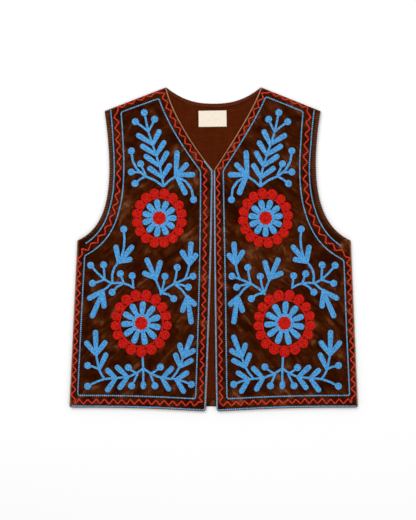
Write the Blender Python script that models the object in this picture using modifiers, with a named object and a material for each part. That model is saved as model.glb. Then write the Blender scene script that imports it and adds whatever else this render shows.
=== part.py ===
"""Embroidered folk vest of lined velvet, lying flat on its back on a surface.

Frame: metres, +X to the wearer's left as the vest is seen from above, +Y from hem to neck, +Z up.
The origin is under the middle of the vest, on the surface it lies on.
Every outline is written for the half with positive x, and side -1 or +1 mirrors it. The two fronts
lie a little differently, so what differs between them is kept by side.
"""

import math
from collections import namedtuple

import bmesh
import bpy
from mathutils import Vector
from mathutils.bvhtree import BVHTree
from mathutils.geometry import delaunay_2d_cdt, intersect_line_line_2d

# Driving sizes of the outline, laid flat
LENGTH = 0.5362
HEM_HALF_WIDTH = 0.2386
HEM_FRONT_Y = -0.2672
TOP_Y = HEM_FRONT_Y + LENGTH
HEM_SIDE_Y = HEM_FRONT_Y + 0.0066
HEM_RISE = 0.0022
HEM_RISE_DEPTH = 0.05
BACK_HEM_Y = HEM_FRONT_Y + 0.0084
UNDERARM_Y = 0.0155
UNDERARM_X = {-1: 0.2254, 1: 0.2268}
SHOULDER_TIP_Y = 0.2295
SHOULDER_TIP_X = {-1: 0.1802, 1: 0.1768}
SHOULDER_NECK = (0.0782, TOP_Y)
V_POINT_Y = 0.1315
BACK_NECK_Y = 0.2420
BACK_NECK_POWER = 2.4
ARMHOLE_HANDLES = {
    -1: ((0.1658, 0.1262), (0.1662, 0.0405)),
    1: ((0.1604, 0.1269), (0.1661, 0.0418)),
}
NECK_HANDLES = {
    -1: ((0.0410, 0.1800), (0.0715, 0.2345)),
    1: ((0.0320, 0.1800), (0.0665, 0.2340)),
}
BACK_ARMHOLE_INSET = 0.0020

# How far each front edge lies from the middle: at the V's point, and at the hem
Opening = namedtuple("Opening", "at_point at_hem")
OPENINGS = {-1: Opening(0.0012, 0.0126), 1: Opening(0.0004, 0.0045)}
OPENING_POWER = 1.5
FRONT_CORNER_CUT = 0.0016

# Layers, from the surface up
SEAM_GAP = 0.0003
BACK_WALL = 0.0020
LINING_WALL = 0.0010
HEM_FACING_INSET = 0.0015
FACING_SHARES = (1, 0.8, 0.4)
FACING_DROP = 0.4
STRIP_BEVEL_SHARE = 0.3
FACING_WALL = 0.0006
FRONT_WALL = 0.0022
LINING_Z = BACK_WALL + SEAM_GAP
FRONT_Z = LINING_Z + LINING_WALL + SEAM_GAP
PUFF = 0.0015
PUFF_RUN = 0.16

# An edge's profile: how far in, how much the top drops there, how much the underside lifts
Edge = namedtuple("Edge", "inset top_drop under_lift")
OPEN_EDGE = (Edge(0, 0.0009, 0.0006), Edge(0.0012, 0.0003, 0.0002), Edge(0.0042, 0, 0))
FRONT_SEAM = (Edge(0, 0.0014, -0.00035), Edge(0.0012, 0.0006, -0.0002), Edge(0.0042, 0, 0))
BACK_SEAM = (Edge(0, -0.00095, 0.0013), Edge(0.0012, -0.0005, 0.0005), Edge(0.0042, 0, 0))

# Soft ridges and troughs of the laid cloth, in the chart's coordinates
Crease = namedtuple("Crease", "x0 y0 x1 y1 height width")
CREASES = {
    -1: (
        Crease(0.225, -0.075, 0.150, -0.060, 0.0006, 0.012),
        Crease(0.195, -0.010, 0.160, -0.125, -0.0006, 0.016),
        Crease(0.120, 0.215, 0.110, 0.120, 0.0007, 0.016),
        Crease(0.040, -0.130, 0.070, -0.235, 0.0006, 0.014),
        Crease(0.180, 0.050, 0.120, 0.010, -0.0005, 0.016),
    ),
    1: (
        Crease(0.105, 0.225, 0.070, 0.165, -0.0007, 0.014),
        Crease(0.225, -0.105, 0.165, -0.120, 0.0007, 0.012),
        Crease(0.205, -0.135, 0.170, -0.080, -0.0006, 0.014),
        Crease(0.150, 0.090, 0.175, 0.200, 0.0006, 0.016),
        Crease(0.030, -0.110, 0.065, -0.160, 0.0006, 0.014),
    ),
}
WAVE_HEIGHT = 0.0005
WAVE_PHASE = 0.2
CREASE_END_FADE = 1.4
CREASE_RIM_SHARE = 0.1
WAVE_LENGTHS = (0.150, 0.185)

# Grid: the rows' heights at the inner and the outer edge of a front, and the rows up to the next
Station = namedtuple("Station", "inner_y outer_y rows")
FRONT_STATIONS = (
    Station(HEM_FRONT_Y, HEM_SIDE_Y, 9),
    Station(0.0180, UNDERARM_Y, 5),
    Station(V_POINT_Y, 0.1230, 5),
    Station(SHOULDER_NECK[1], SHOULDER_TIP_Y, 0),
)
FRONT_COLUMNS = 8
BACK_STATIONS = (
    Station(BACK_HEM_Y, BACK_HEM_Y, 3),
    Station(0.0180, UNDERARM_Y, 4),
    Station(0.1315, 0.1230, 3),
    Station(BACK_NECK_Y, SHOULDER_TIP_Y, 0),
)
NECK_REACHES = (0.25, 0.48, 0.68, 0.84, 1)
SHOULDER_REACHES = (0.62, 0.82)

# Inside of the back, seen through the neck and between the fronts
LINING_INSET = 0.0080
NECK_FACING = 0.0062
HEM_FACING = 0.0110
LABEL_SIZE = (0.0465, 0.0270, 0.0008)
LABEL_PLACE = (-0.0017, 0.2168)
LABEL_TILT = math.radians(0.8)

# Embroidery: raised pads of chain stitch, a seam gap over the velvet
PAD_EDGE = 0.0006
PAD_CROWN = 0.0012
STEM_WIDTH = 0.0034
STEM_STEP = 0.018
MERGE = 1e-5
ABOVE_ALL = 0.1
HALVINGS = 30
CLEARANCE_SHARES = (0.2, 0.4, 0.6, 0.8)
LEAF_BASE_RADIUS = 0.0029
LEAF_TIP_RADIUS = 0.0044
LEAF_TIP_TURNS = (-38, 38)
BERRY = (0.0058, 0.0058)
BUD = (0.0044, 0.0073)
BERRY_SIDES = 8

# Border lines: their distances in from each edge of a front, at even steps along it, in order round it
LINE_WIDTH = 0.0021
LINE_STEP = 0.022
LINE_REACH = 0.04
Border = namedtuple("Border", "opening neck shoulder armhole side hem")
FRAMES = {
    -1: Border(
        opening=(0.0180, 0.0189, 0.0204),
        neck=(0.0165, 0.0165),
        shoulder=(0.0136, 0.0112),
        armhole=(0.0269, 0.0246, 0.0241, 0.0248, 0.0280),
        side=(0.0137, 0.0131, 0.0131),
        hem=(0.0203, 0.0203),
    ),
    1: Border(
        opening=(0.0178, 0.0178, 0.0155),
        neck=(0.0132, 0.0132),
        shoulder=(0.0118, 0.0118),
        armhole=(0.0286, 0.0263, 0.0271, 0.0293, 0.0342),
        side=(0.0130, 0.0137, 0.0131),
        hem=(0.0203, 0.0203),
    ),
}
ARMHOLE_LINES = {
    -1: (0.0103, 0.0084, 0.0083, 0.0086, 0.0109),
    1: (0.0109, 0.0096, 0.0114, 0.0123, 0.0155),
}
ARMHOLE_LINE_ENDS = (0.0004, 0.011)

# Rosettes: a ring of small discs on a band, round a daisy with a disc at its heart.
# Radii are (across, up); turns are in degrees, for the left and the right front
Rosette = namedtuple("Rosette", "name x y outer hole heart lobes petals lobe_turns petal_turns")
ROSETTES = (
    Rosette("upper_rosette", 0.0895, 0.0525, (0.0457, 0.0498), (0.0299, 0.0326), (0.0104, 0.0110),
            16, 11, {-1: 101.4, 1: 73.8}, {-1: 82, 1: 73.6}),
    Rosette("lower_rosette", 0.1195, -0.1209, (0.0506, 0.0562), (0.0345, 0.0380), (0.0103, 0.0109),
            17, 11, {-1: 79.1, 1: 79.9}, {-1: 95.2, 1: 86.4}),
)
LOBE_SHARE = 0.91
LOBE_SIDES = 8
RING_BAND = 0.0030
PETAL_REACH = 0.965
PETAL_BASE_RADIUS = 0.0028
PETAL_TIP_RADIUS = 0.0050
PETAL_START = 1.05
DAISY_BAND = 1.42
HEART_GAP = 0.00035

# A twig: a stem from one point to another, bowed to its left, that may end in a berry or a bud
Twig = namedtuple("Twig", "x0 y0 x1 y1 bow end")
# A leaf: from its base to its tip
Leaf = namedtuple("Leaf", "x0 y0 x1 y1")
Spray = namedtuple("Spray", "twigs leaves")

# Where the motifs lie on the left front
SPRAYS = {
    "top_spray": Spray(
        twigs=(
            Twig(0.0829, 0.1045, 0.0892, 0.1394, 0.0010, None),
            Twig(0.0892, 0.1394, 0.1077, 0.1949, 0.0000, None),
            Twig(0.1077, 0.1949, 0.0974, 0.2155, 0.0005, BERRY),
            Twig(0.1077, 0.1949, 0.1144, 0.2265, 0.0000, BERRY),
            Twig(0.1077, 0.1949, 0.1291, 0.2115, 0.0005, BERRY),
            Twig(0.0829, 0.1045, 0.1126, 0.1213, 0.0020, None),
            Twig(0.1126, 0.1213, 0.1357, 0.1632, -0.0070, BERRY),
            Twig(0.1126, 0.1213, 0.1298, 0.1094, 0.0008, BERRY),
            Twig(0.1189, 0.1279, 0.1357, 0.1284, 0.0000, BERRY),
            Twig(0.1112, 0.1213, 0.1204, 0.1419, 0.0000, BERRY),
            Twig(0.0829, 0.1045, 0.0628, 0.1209, -0.0015, None),
            Twig(0.0611, 0.1209, 0.0331, 0.0828, -0.0085, BERRY),
        ),
        leaves=(
            Leaf(0.1002, 0.1741, 0.1275, 0.1909),
            Leaf(0.1006, 0.1731, 0.0882, 0.1987),
            Leaf(0.0951, 0.1568, 0.1209, 0.1731),
            Leaf(0.0951, 0.1559, 0.0799, 0.1803),
            Leaf(0.0895, 0.1384, 0.1149, 0.1566),
            Leaf(0.0895, 0.1378, 0.0753, 0.1632),
            Leaf(0.0846, 0.1193, 0.1087, 0.1368),
            Leaf(0.0849, 0.1186, 0.0707, 0.1427),
            Leaf(0.0628, 0.1178, 0.0601, 0.1645),
            Leaf(0.0623, 0.1216, 0.0418, 0.1434),
            Leaf(0.0611, 0.1236, 0.0301, 0.1242),
            Leaf(0.0628, 0.1244, 0.0450, 0.0906),
        ),
    ),
    "outer_spray": Spray(
        twigs=(
            Twig(0.1308, -0.0632, 0.1484, -0.0551, 0.0010, None),
            Twig(0.1484, -0.0551, 0.1689, -0.0551, 0.0008, None),
            Twig(0.1324, -0.0610, 0.1344, -0.0427, 0.0000, BERRY),
            Twig(0.1484, -0.0551, 0.1540, -0.0393, 0.0000, BERRY),
            Twig(0.1484, -0.0551, 0.1674, -0.0698, 0.0020, BERRY),
            Twig(0.1689, -0.0551, 0.1798, -0.0488, 0.0000, None),
            Twig(0.1798, -0.0488, 0.1814, -0.0249, 0.0000, BERRY),
            Twig(0.1798, -0.0488, 0.2029, -0.0254, -0.0010, BERRY),
            Twig(0.1798, -0.0488, 0.1999, -0.0551, -0.0008, BERRY),
            Twig(0.1667, -0.0549, 0.1563, -0.0191, -0.0050, None),
            Twig(0.1535, -0.0167, 0.1483, 0.0342, 0.0035, BERRY),
            Twig(0.1689, -0.0551, 0.1839, -0.0681, -0.0008, None),
        ),
        leaves=(
            Leaf(0.1563, -0.0216, 0.1618, 0.0087),
            Leaf(0.1555, -0.0210, 0.1324, 0.0078),
            Leaf(0.1572, -0.0200, 0.1337, -0.0148),
            Leaf(0.1816, -0.0668, 0.2086, -0.0817),
            Leaf(0.1822, -0.0678, 0.2017, -0.1127),
            Leaf(0.1829, -0.0668, 0.1804, -0.0969),
        ),
    ),
    "inner_spray": Spray(
        twigs=(
            Twig(0.0889, -0.0738, 0.0651, -0.0558, -0.0013, None),
            Twig(0.0864, -0.0711, 0.0958, -0.0480, 0.0000, None),
            Twig(0.0864, -0.0711, 0.0803, -0.0436, 0.0008, BERRY),
            Twig(0.0864, -0.0711, 0.0659, -0.0805, -0.0025, BERRY),
            Twig(0.0651, -0.0558, 0.0473, -0.0483, 0.0000, None),
            Twig(0.0651, -0.0558, 0.0601, -0.0290, 0.0008, BERRY),
            Twig(0.0473, -0.0483, 0.0341, -0.0434, 0.0000, BERRY),
            Twig(0.0473, -0.0483, 0.0397, -0.0213, 0.0012, None),
            Twig(0.0651, -0.0558, 0.0418, -0.0615, -0.0010, BERRY),
            Twig(0.0651, -0.0558, 0.0440, -0.0777, -0.0020, None),
        ),
        leaves=(
            Leaf(0.0953, -0.0493, 0.1116, -0.0127),
            Leaf(0.0958, -0.0493, 0.0872, -0.0167),
            Leaf(0.0945, -0.0474, 0.1179, -0.0370),
            Leaf(0.0400, -0.0239, 0.0370, 0.0140),
            Leaf(0.0394, -0.0243, 0.0539, -0.0002),
            Leaf(0.0400, -0.0243, 0.0271, -0.0054),
            Leaf(0.0435, -0.0767, 0.0526, -0.1038),
            Leaf(0.0431, -0.0777, 0.0365, -0.1229),
            Leaf(0.0446, -0.0764, 0.0288, -0.0926),
        ),
    ),
    "garland": Spray(
        twigs=(
            Twig(0.1172, -0.1770, 0.1161, -0.1955, 0.0000, None),
            Twig(0.1161, -0.1955, 0.1161, -0.2231, 0.0000, BUD),
            Twig(0.1161, -0.1955, 0.1413, -0.2097, -0.0015, None),
            Twig(0.1413, -0.2097, 0.1798, -0.2130, 0.0000, None),
            Twig(0.1798, -0.2130, 0.2077, -0.2249, 0.0010, BERRY),
            Twig(0.1252, -0.2046, 0.1408, -0.1940, -0.0008, BERRY),
            Twig(0.1252, -0.2046, 0.1352, -0.2242, 0.0000, BERRY),
            Twig(0.1798, -0.2130, 0.1895, -0.1960, -0.0008, None),
            Twig(0.1895, -0.1960, 0.2077, -0.1907, 0.0006, BERRY),
            Twig(0.1895, -0.1960, 0.1941, -0.1709, 0.0000, None),
            Twig(0.1161, -0.1955, 0.0849, -0.2112, 0.0020, None),
            Twig(0.0849, -0.2112, 0.0625, -0.2133, 0.0000, None),
            Twig(0.0625, -0.2133, 0.0369, -0.2219, -0.0008, BERRY),
            Twig(0.1045, -0.2048, 0.0877, -0.1932, 0.0008, BERRY),
            Twig(0.1045, -0.2048, 0.0968, -0.2242, 0.0000, BERRY),
            Twig(0.0695, -0.2124, 0.0555, -0.1922, 0.0010, None),
            Twig(0.0555, -0.1922, 0.0496, -0.1747, 0.0000, None),
        ),
        leaves=(
            Leaf(0.1407, -0.2107, 0.1621, -0.1909),
            Leaf(0.1410, -0.2091, 0.1572, -0.2305),
            Leaf(0.1601, -0.2127, 0.1780, -0.1959),
            Leaf(0.1605, -0.2110, 0.1776, -0.2345),
            Leaf(0.1895, -0.1982, 0.1760, -0.1695),
            Leaf(0.1938, -0.1724, 0.1949, -0.1318),
            Leaf(0.1941, -0.1728, 0.2123, -0.1503),
            Leaf(0.1938, -0.1728, 0.1766, -0.1497),
            Leaf(0.0862, -0.2130, 0.0664, -0.1926),
            Leaf(0.0859, -0.2107, 0.0720, -0.2331),
            Leaf(0.0631, -0.2150, 0.0407, -0.2005),
            Leaf(0.0628, -0.2120, 0.0473, -0.2368),
            Leaf(0.0552, -0.1942, 0.0641, -0.1695),
            Leaf(0.0562, -0.1932, 0.0331, -0.1803),
            Leaf(0.0499, -0.1774, 0.0572, -0.1530),
            Leaf(0.0499, -0.1777, 0.0354, -0.1398),
            Leaf(0.0502, -0.1770, 0.0299, -0.1640),
        ),
    ),
}

# The right front's motifs lie nearer the middle, most of all at the top, and spread outwards below
RIGHT_SHIFT = 0.0038
RIGHT_TOP_SHIFT = 0.0030
RIGHT_TOP_FROM = 0.085
RIGHT_TOP_RUN = 0.030
RIGHT_LOW_SPREAD = 0.0020
RIGHT_SPREAD_FROM = 0.030
RIGHT_SPREAD_RUN = 0.170
RIGHT_LOW_RUN = 0.040

# Colours, from the photograph
VELVET = ("velvet", (0.066, 0.018, 0.006), 0.85)
LINING = ("lining", (0.088, 0.012, 0.003), 0.80)
LABEL = ("label", (0.78, 0.72, 0.60), 0.75)
BLUE = ("blue_thread", (0.078, 0.366, 0.788), 0.65)
RED = ("red_thread", (0.680, 0.021, 0.011), 0.65)


def material(look):
    """The Principled material of that name, made once."""
    name, colour, roughness = look
    found = bpy.data.materials.get(name)
    if found:
        return found
    made = bpy.data.materials.new(name)
    made.use_nodes = True
    shader = made.node_tree.nodes["Principled BSDF"]
    shader.inputs["Base Color"].default_value = (*colour, 1)
    shader.inputs["Roughness"].default_value = roughness
    shader.inputs["Metallic"].default_value = 0
    return made


def mix(a, b, share):
    return a + (b - a) * share


def smooth(share):
    """0 to 1 with level ends."""
    share = min(max(share, 0.0), 1.0)
    return share * share * (3 - 2 * share)


def bezier(points, share):
    """The point that far along a cubic Bezier curve."""
    rest = 1 - share
    weights = (rest**3, 3 * rest * rest * share, 3 * rest * share * share, share**3)
    return tuple(sum(w * p[axis] for w, p in zip(weights, points)) for axis in (0, 1))


def along_steps(values, share):
    """The value at that share of the way along even steps."""
    place = min(max(share, 0.0), 1.0) * (len(values) - 1)
    low = min(int(place), len(values) - 2)
    return mix(values[low], values[low + 1], place - low)


def x_on(points, y):
    """Where a Bezier curve that only climbs or only falls crosses the height y."""
    low, high = (0.0, 1.0) if points[0][1] < points[3][1] else (1.0, 0.0)
    for _ in range(HALVINGS):
        middle = (low + high) / 2
        if bezier(points, middle)[1] < y:
            low = middle
        else:
            high = middle
    return bezier(points, (low + high) / 2)[0]


def inner_x(y, side):
    """A front's edge at the opening, and along the neck above the V's point."""
    opening = OPENINGS[side]
    if y > V_POINT_Y:
        point = (opening.at_point, V_POINT_Y)
        return x_on((point, *NECK_HANDLES[side], SHOULDER_NECK), y)
    down = (V_POINT_Y - y) / (V_POINT_Y - HEM_FRONT_Y)
    return mix(opening.at_point, opening.at_hem, down**OPENING_POWER)


def outer_x(y, side):
    """The side seam, and the armhole above it."""
    if y > UNDERARM_Y:
        tip = (SHOULDER_TIP_X[side], SHOULDER_TIP_Y)
        underarm = (UNDERARM_X[side], UNDERARM_Y)
        return x_on((tip, *ARMHOLE_HANDLES[side], underarm), y)
    down = (UNDERARM_Y - y) / (UNDERARM_Y - HEM_SIDE_Y)
    return mix(UNDERARM_X[side], HEM_HALF_WIDTH, down)


def back_top_y(x):
    """The back's upper edge: its neckline, then its shoulder."""
    if abs(x) <= SHOULDER_NECK[0]:
        rise = (abs(x) / SHOULDER_NECK[0]) ** BACK_NECK_POWER
        return mix(BACK_NECK_Y, SHOULDER_NECK[1], rise)
    tip_x = SHOULDER_TIP_X[math.copysign(1, x)]
    run = (abs(x) - SHOULDER_NECK[0]) / (tip_x - SHOULDER_NECK[0])
    return mix(SHOULDER_NECK[1], SHOULDER_TIP_Y, run)


def spaced(length, count):
    """Shares of a length for a grid: a profile's insets at both ends, and even steps between."""
    insets = [edge.inset / length for edge in OPEN_EDGE]
    steps = [mix(insets[-1], 1 - insets[-1], i / count) for i in range(1, count)]
    return insets + steps + [1 - inset for inset in reversed(insets)]


def rows_of(stations):
    """(inner y, outer y) for each row, from the hem up."""
    rows = []
    for low, high in zip(stations, stations[1:]):
        for i in range(low.rows):
            share = i / low.rows
            inner = mix(low.inner_y, high.inner_y, share)
            rows.append((inner, mix(low.outer_y, high.outer_y, share)))
    top = stations[-1]
    rows.append((top.inner_y, top.outer_y))
    return rows


def with_insets(rows):
    """The rows, with two more beside the first and the last, at the edge profile's insets."""
    def beside(near, far, inset):
        share = inset / abs(far[0] - near[0])
        return (mix(near[0], far[0], share), mix(near[1], far[1], share))

    near = [beside(rows[0], rows[1], edge.inset) for edge in OPEN_EDGE[1:]]
    far = [beside(rows[-1], rows[-2], edge.inset) for edge in reversed(OPEN_EDGE[1:])]
    return [rows[0], *near, *rows[1:-1], *far, rows[-1]]


def profile_at(distance, profile):
    """(top drop, underside lift) at that distance in from an edge."""
    for near, far in zip(profile, profile[1:]):
        if distance < far.inset:
            share = (distance - near.inset) / (far.inset - near.inset)
            drop = mix(near.top_drop, far.top_drop, share)
            return drop, mix(near.under_lift, far.under_lift, share)
    return 0.0, 0.0


def edge_effect(distances):
    """The strongest (top drop, underside lift) of several edges' (distance, profile)."""
    found = [profile_at(distance, profile) for distance, profile in distances]
    return max(found, key=lambda effect: abs(effect[0]) + abs(effect[1]))


def crease_height(x, y, side):
    """Soft ridges and troughs, and a long low wave, at a point of the chart."""
    height = 0.0
    for crease in CREASES[side]:
        start = Vector((crease.x0, crease.y0))
        run = Vector((crease.x1, crease.y1)) - start
        along = (Vector((x, y)) - start).dot(run) / run.length_squared
        near = start + run * min(max(along, 0.0), 1.0)
        away = (Vector((x, y)) - near).length / crease.width
        ends = smooth(CREASE_END_FADE - abs(along - 0.5) * 2)
        height += crease.height * math.exp(-away * away) * ends
    long_wave = math.sin(math.tau * (x / WAVE_LENGTHS[0] + WAVE_PHASE * side))
    height += WAVE_HEIGHT * long_wave * math.cos(math.tau * y / WAVE_LENGTHS[1])
    return height


def wall(name, grid, look):
    """A closed wall from a grid of (x, y, underside z, top z), in the collection of the vest."""
    mesh = bmesh.new()
    tops = [[mesh.verts.new((x, y, top)) for x, y, _, top in row] for row in grid]
    unders = [[mesh.verts.new((x, y, under)) for x, y, under, _ in row] for row in grid]
    rows, columns = len(grid), len(grid[0])
    for i in range(rows - 1):
        for j in range(columns - 1):
            corners = ((i, j), (i, j + 1), (i + 1, j + 1), (i + 1, j))
            mesh.faces.new([tops[a][b] for a, b in corners])
            mesh.faces.new([unders[a][b] for a, b in reversed(corners)])
    rim = [(0, j) for j in range(columns - 1)]
    rim += [(i, columns - 1) for i in range(rows - 1)]
    rim += [(rows - 1, j) for j in range(columns - 1, 0, -1)]
    rim += [(i, 0) for i in range(rows - 1, 0, -1)]
    for (a, b), (c, d) in zip(rim, rim[1:] + rim[:1]):
        mesh.faces.new([unders[a][b], unders[c][d], tops[c][d], tops[a][b]])
    bmesh.ops.recalc_face_normals(mesh, faces=mesh.faces)
    bmesh.ops.triangulate(mesh, faces=mesh.faces)
    return finished(name, mesh, look)


def finished(name, mesh, look):
    """An object of that name from a bmesh, smooth but for its sharp edges."""
    data = bpy.data.meshes.new(name)
    mesh.to_mesh(data)
    mesh.free()
    data.shade_smooth()
    data.set_sharp_from_angle(angle=math.radians(40))
    data.materials.append(material(look))
    made = bpy.data.objects.new(name, data)
    vest.objects.link(made)
    return made


def front_panel(name, side):
    """A front: the wall between its opening edge and the side seam or armhole."""
    rows = with_insets(rows_of(FRONT_STATIONS))
    grid = []
    for row, (inner_y, outer_y) in enumerate(rows):
        inner = Vector((inner_x(inner_y, side), inner_y))
        outer = Vector((outer_x(outer_y, side), outer_y))
        along = spaced((outer - inner).length, FRONT_COLUMNS)
        outer_profile = FRONT_SEAM if outer_y <= UNDERARM_Y else OPEN_EDGE
        from_hem = inner_y - HEM_FRONT_Y
        from_shoulder = SHOULDER_NECK[1] - inner_y
        points = []
        for column, share in enumerate(along):
            place = inner.lerp(outer, share)
            place.y += HEM_RISE * math.sin(math.pi * share) * smooth(1 - from_hem / HEM_RISE_DEPTH)
            if row == 0 and column in (0, len(along) - 1):
                place += Vector((-FRONT_CORNER_CUT if column else FRONT_CORNER_CUT, FRONT_CORNER_CUT))
            width = (outer - inner).length
            edges = (
                (share * width, OPEN_EDGE),
                ((1 - share) * width, outer_profile),
                (from_hem, OPEN_EDGE),
                (from_shoulder, FRONT_SEAM),
            )
            drop, lift = edge_effect(edges)
            rise = PUFF * smooth(min(share, 1 - share) / PUFF_RUN)
            rise *= smooth(min(from_hem, from_shoulder) / (PUFF_RUN * LENGTH / 2))
            rise += crease_height(place.x, place.y, side) * smooth(min(share, 1 - share) / CREASE_RIM_SHARE)
            under = FRONT_Z + max(rise, 0.0)
            points.append((side * place.x, place.y, under + lift, under + FRONT_WALL - drop))
        grid.append(points)
    return wall(name, grid, VELVET)


def across_back(halves):
    """The grid's columns from side to side, as (side, share of that side's width)."""
    columns = {}
    for side, half in halves.items():
        neck = SHOULDER_NECK[0] / SHOULDER_TIP_X[side]
        insets = [1 - edge.inset / half for edge in reversed(OPEN_EDGE)]
        shares = [*(neck * share for share in NECK_REACHES), *SHOULDER_REACHES, *insets]
        columns[side] = [(side, share) for share in shares]
    return [*reversed(columns[-1]), (1, 0.0), *columns[1]]


def back_grid(inset, top_inset, hem_inset, bottom, thickness, seams):
    """A grid across the whole back, drawn in from its outline, with the top edge's neckline."""
    rows = with_insets(rows_of(BACK_STATIONS))
    hem_y = BACK_HEM_Y + hem_inset
    grid = []
    for inner_y, outer_y in rows:
        above = smooth((inner_y - V_POINT_Y) / (BACK_NECK_Y - V_POINT_Y))
        armhole = outer_y > UNDERARM_Y
        edge_inset = inset + (BACK_ARMHOLE_INSET if armhole and inner_y < BACK_NECK_Y else 0)
        halves = {side: outer_x(min(outer_y, SHOULDER_TIP_Y), side) - edge_inset for side in (-1, 1)}
        points = []
        for side, reach in across_back(halves):
            half = halves[side]
            x = side * half * reach
            level = mix(inner_y, outer_y, reach)
            chord = mix(BACK_NECK_Y, SHOULDER_TIP_Y, reach)
            top_y = back_top_y(x)
            squeeze = (top_y - top_inset - hem_y) / (top_y - BACK_HEM_Y)
            y = hem_y + (level + above * (top_y - chord) - BACK_HEM_Y) * squeeze
            seam = BACK_SEAM if seams else OPEN_EDGE
            edges = (
                ((1 - reach) * half, OPEN_EDGE if armhole else seam),
                (inner_y - BACK_HEM_Y, OPEN_EDGE),
                (BACK_NECK_Y - inner_y, seam if abs(x) > SHOULDER_NECK[0] else OPEN_EDGE),
            )
            drop, lift = edge_effect(edges)
            scale = thickness / FRONT_WALL
            if not seams:
                drop, lift = drop * scale, lift * scale
            points.append((x, y, bottom + lift, bottom + thickness - drop))
        grid.append(points)
    return grid


def neck_facing():
    """The strip of velvet turned to the inside along the back neckline."""
    grid = []
    across = (*(NECK_FACING * share for share in FACING_SHARES), SEAM_GAP * 4)
    outward = [SHOULDER_NECK[0] * share for share in NECK_REACHES]
    stations = [-x for x in reversed(outward)] + [0.0] + outward
    for down in across:
        points = []
        for x in stations:
            drop = FACING_WALL * FACING_DROP if down in (across[0], across[-1]) else 0
            points.append((x, back_top_y(x) - down, LINING_Z, LINING_Z + FACING_WALL - drop))
        grid.append(points)
    return wall("neck_facing", grid, LINING)


def flat_strip(name, size, centre, turn, look):
    """A flat rectangle of cloth with softened rims."""
    bpy.ops.mesh.primitive_cube_add(size=1)
    made = bpy.context.object
    for collection in made.users_collection:
        collection.objects.unlink(made)
    vest.objects.link(made)
    made.name = name
    made.data.name = name
    made.data.transform(made.matrix_world)
    for vertex in made.data.vertices:
        vertex.co = Vector(vertex.co[axis] * size[axis] for axis in range(3))
    made.location = centre
    made.rotation_euler.z = turn
    bevel = made.modifiers.new("soft rim", "BEVEL")
    bevel.width = size[2] * STRIP_BEVEL_SHARE
    bevel.segments = 1
    made.data.materials.append(material(look))
    return made


Shape = namedtuple("Shape", "polygons crowns")


def from_angle(degrees):
    return Vector((math.cos(math.radians(degrees)), math.sin(math.radians(degrees))))


def on_ellipse(centre, radii, turn, share=1.0):
    """The point of an ellipse in that direction, or at that share of the way to it."""
    way = from_angle(turn)
    return Vector(centre) + way * share / math.hypot(way.x / radii[0], way.y / radii[1])


def disc(centre, radii, sides, turn=0.0):
    """A round or oval pad."""
    outline = [on_ellipse(centre, radii, turn + 360 * i / sides) for i in range(sides)]
    return Shape([outline], [Vector(centre)])


def leaf(base, tip, base_radius=LEAF_BASE_RADIUS, tip_radius=LEAF_TIP_RADIUS):
    """A finger-shaped leaf: narrow at its base, with a round tip."""
    base, tip = Vector(base), Vector(tip)
    way = (tip - base).normalized()
    left = Vector((-way.y, way.x))
    heart = tip - way * tip_radius
    heading = math.degrees(math.atan2(way.y, way.x))
    outline = [base - left * base_radius, heart - left * tip_radius]
    outline += [heart + from_angle(heading + turn) * tip_radius for turn in LEAF_TIP_TURNS]
    outline += [heart + left * tip_radius, base + left * base_radius]
    return Shape([outline], [heart])


def stem(start, end, bow):
    """A narrow ribbon from one point to another, bowed to the left of its way."""
    start, end = Vector(start), Vector(end)
    run = end - start
    left = Vector((-run.y, run.x)).normalized()
    steps = math.ceil(run.length / STEM_STEP) if bow else 1
    line = [start.lerp(end, i / steps) for i in range(steps + 1)]
    line = [p + left * bow * math.sin(math.pi * i / steps) for i, p in enumerate(line)]
    sides = []
    for i, point in enumerate(line):
        way = (line[min(i + 1, steps)] - line[max(i - 1, 0)]).normalized()
        half = Vector((-way.y, way.x)) * STEM_WIDTH / 2
        sides.append((point - half, point + half))
    quads = [[a[0], b[0], b[1], a[1]] for a, b in zip(sides, sides[1:])]
    return Shape(quads, [])


def spray(parts):
    """The shapes of one spray: its stems with their berries, and its leaves."""
    shapes = []
    for twig in parts.twigs:
        shapes.append(stem((twig.x0, twig.y0), (twig.x1, twig.y1), twig.bow))
        if twig.end:
            shapes.append(disc((twig.x1, twig.y1), twig.end, BERRY_SIDES))
    return shapes + [leaf((at.x0, at.y0), (at.x1, at.y1)) for at in parts.leaves]


def ring(rosette, side):
    """The rosette's ring: small discs side by side on a band."""
    centre = (rosette.x, rosette.y)
    band_outer = [radius + RING_BAND for radius in rosette.hole]
    half = 180 / rosette.lobes
    shapes = []
    for i in range(rosette.lobes):
        turn = rosette.lobe_turns[side] + 360 * i / rosette.lobes
        out = on_ellipse(centre, rosette.outer, turn)
        way = (out - Vector(centre)).normalized()
        lobe = LOBE_SHARE * (out - on_ellipse(centre, rosette.hole, turn)).length / 2
        at = out - way * lobe
        heading = math.degrees(math.atan2(way.y, way.x))
        lobe_disc = disc(at, (lobe, lobe), LOBE_SIDES, heading)
        band = [
            on_ellipse(centre, rosette.hole, turn - half),
            on_ellipse(centre, rosette.hole, turn + half),
            on_ellipse(centre, band_outer, turn + half),
            on_ellipse(centre, band_outer, turn - half),
        ]
        shapes.append(Shape([*lobe_disc.polygons, band], [at]))
    return shapes


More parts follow.
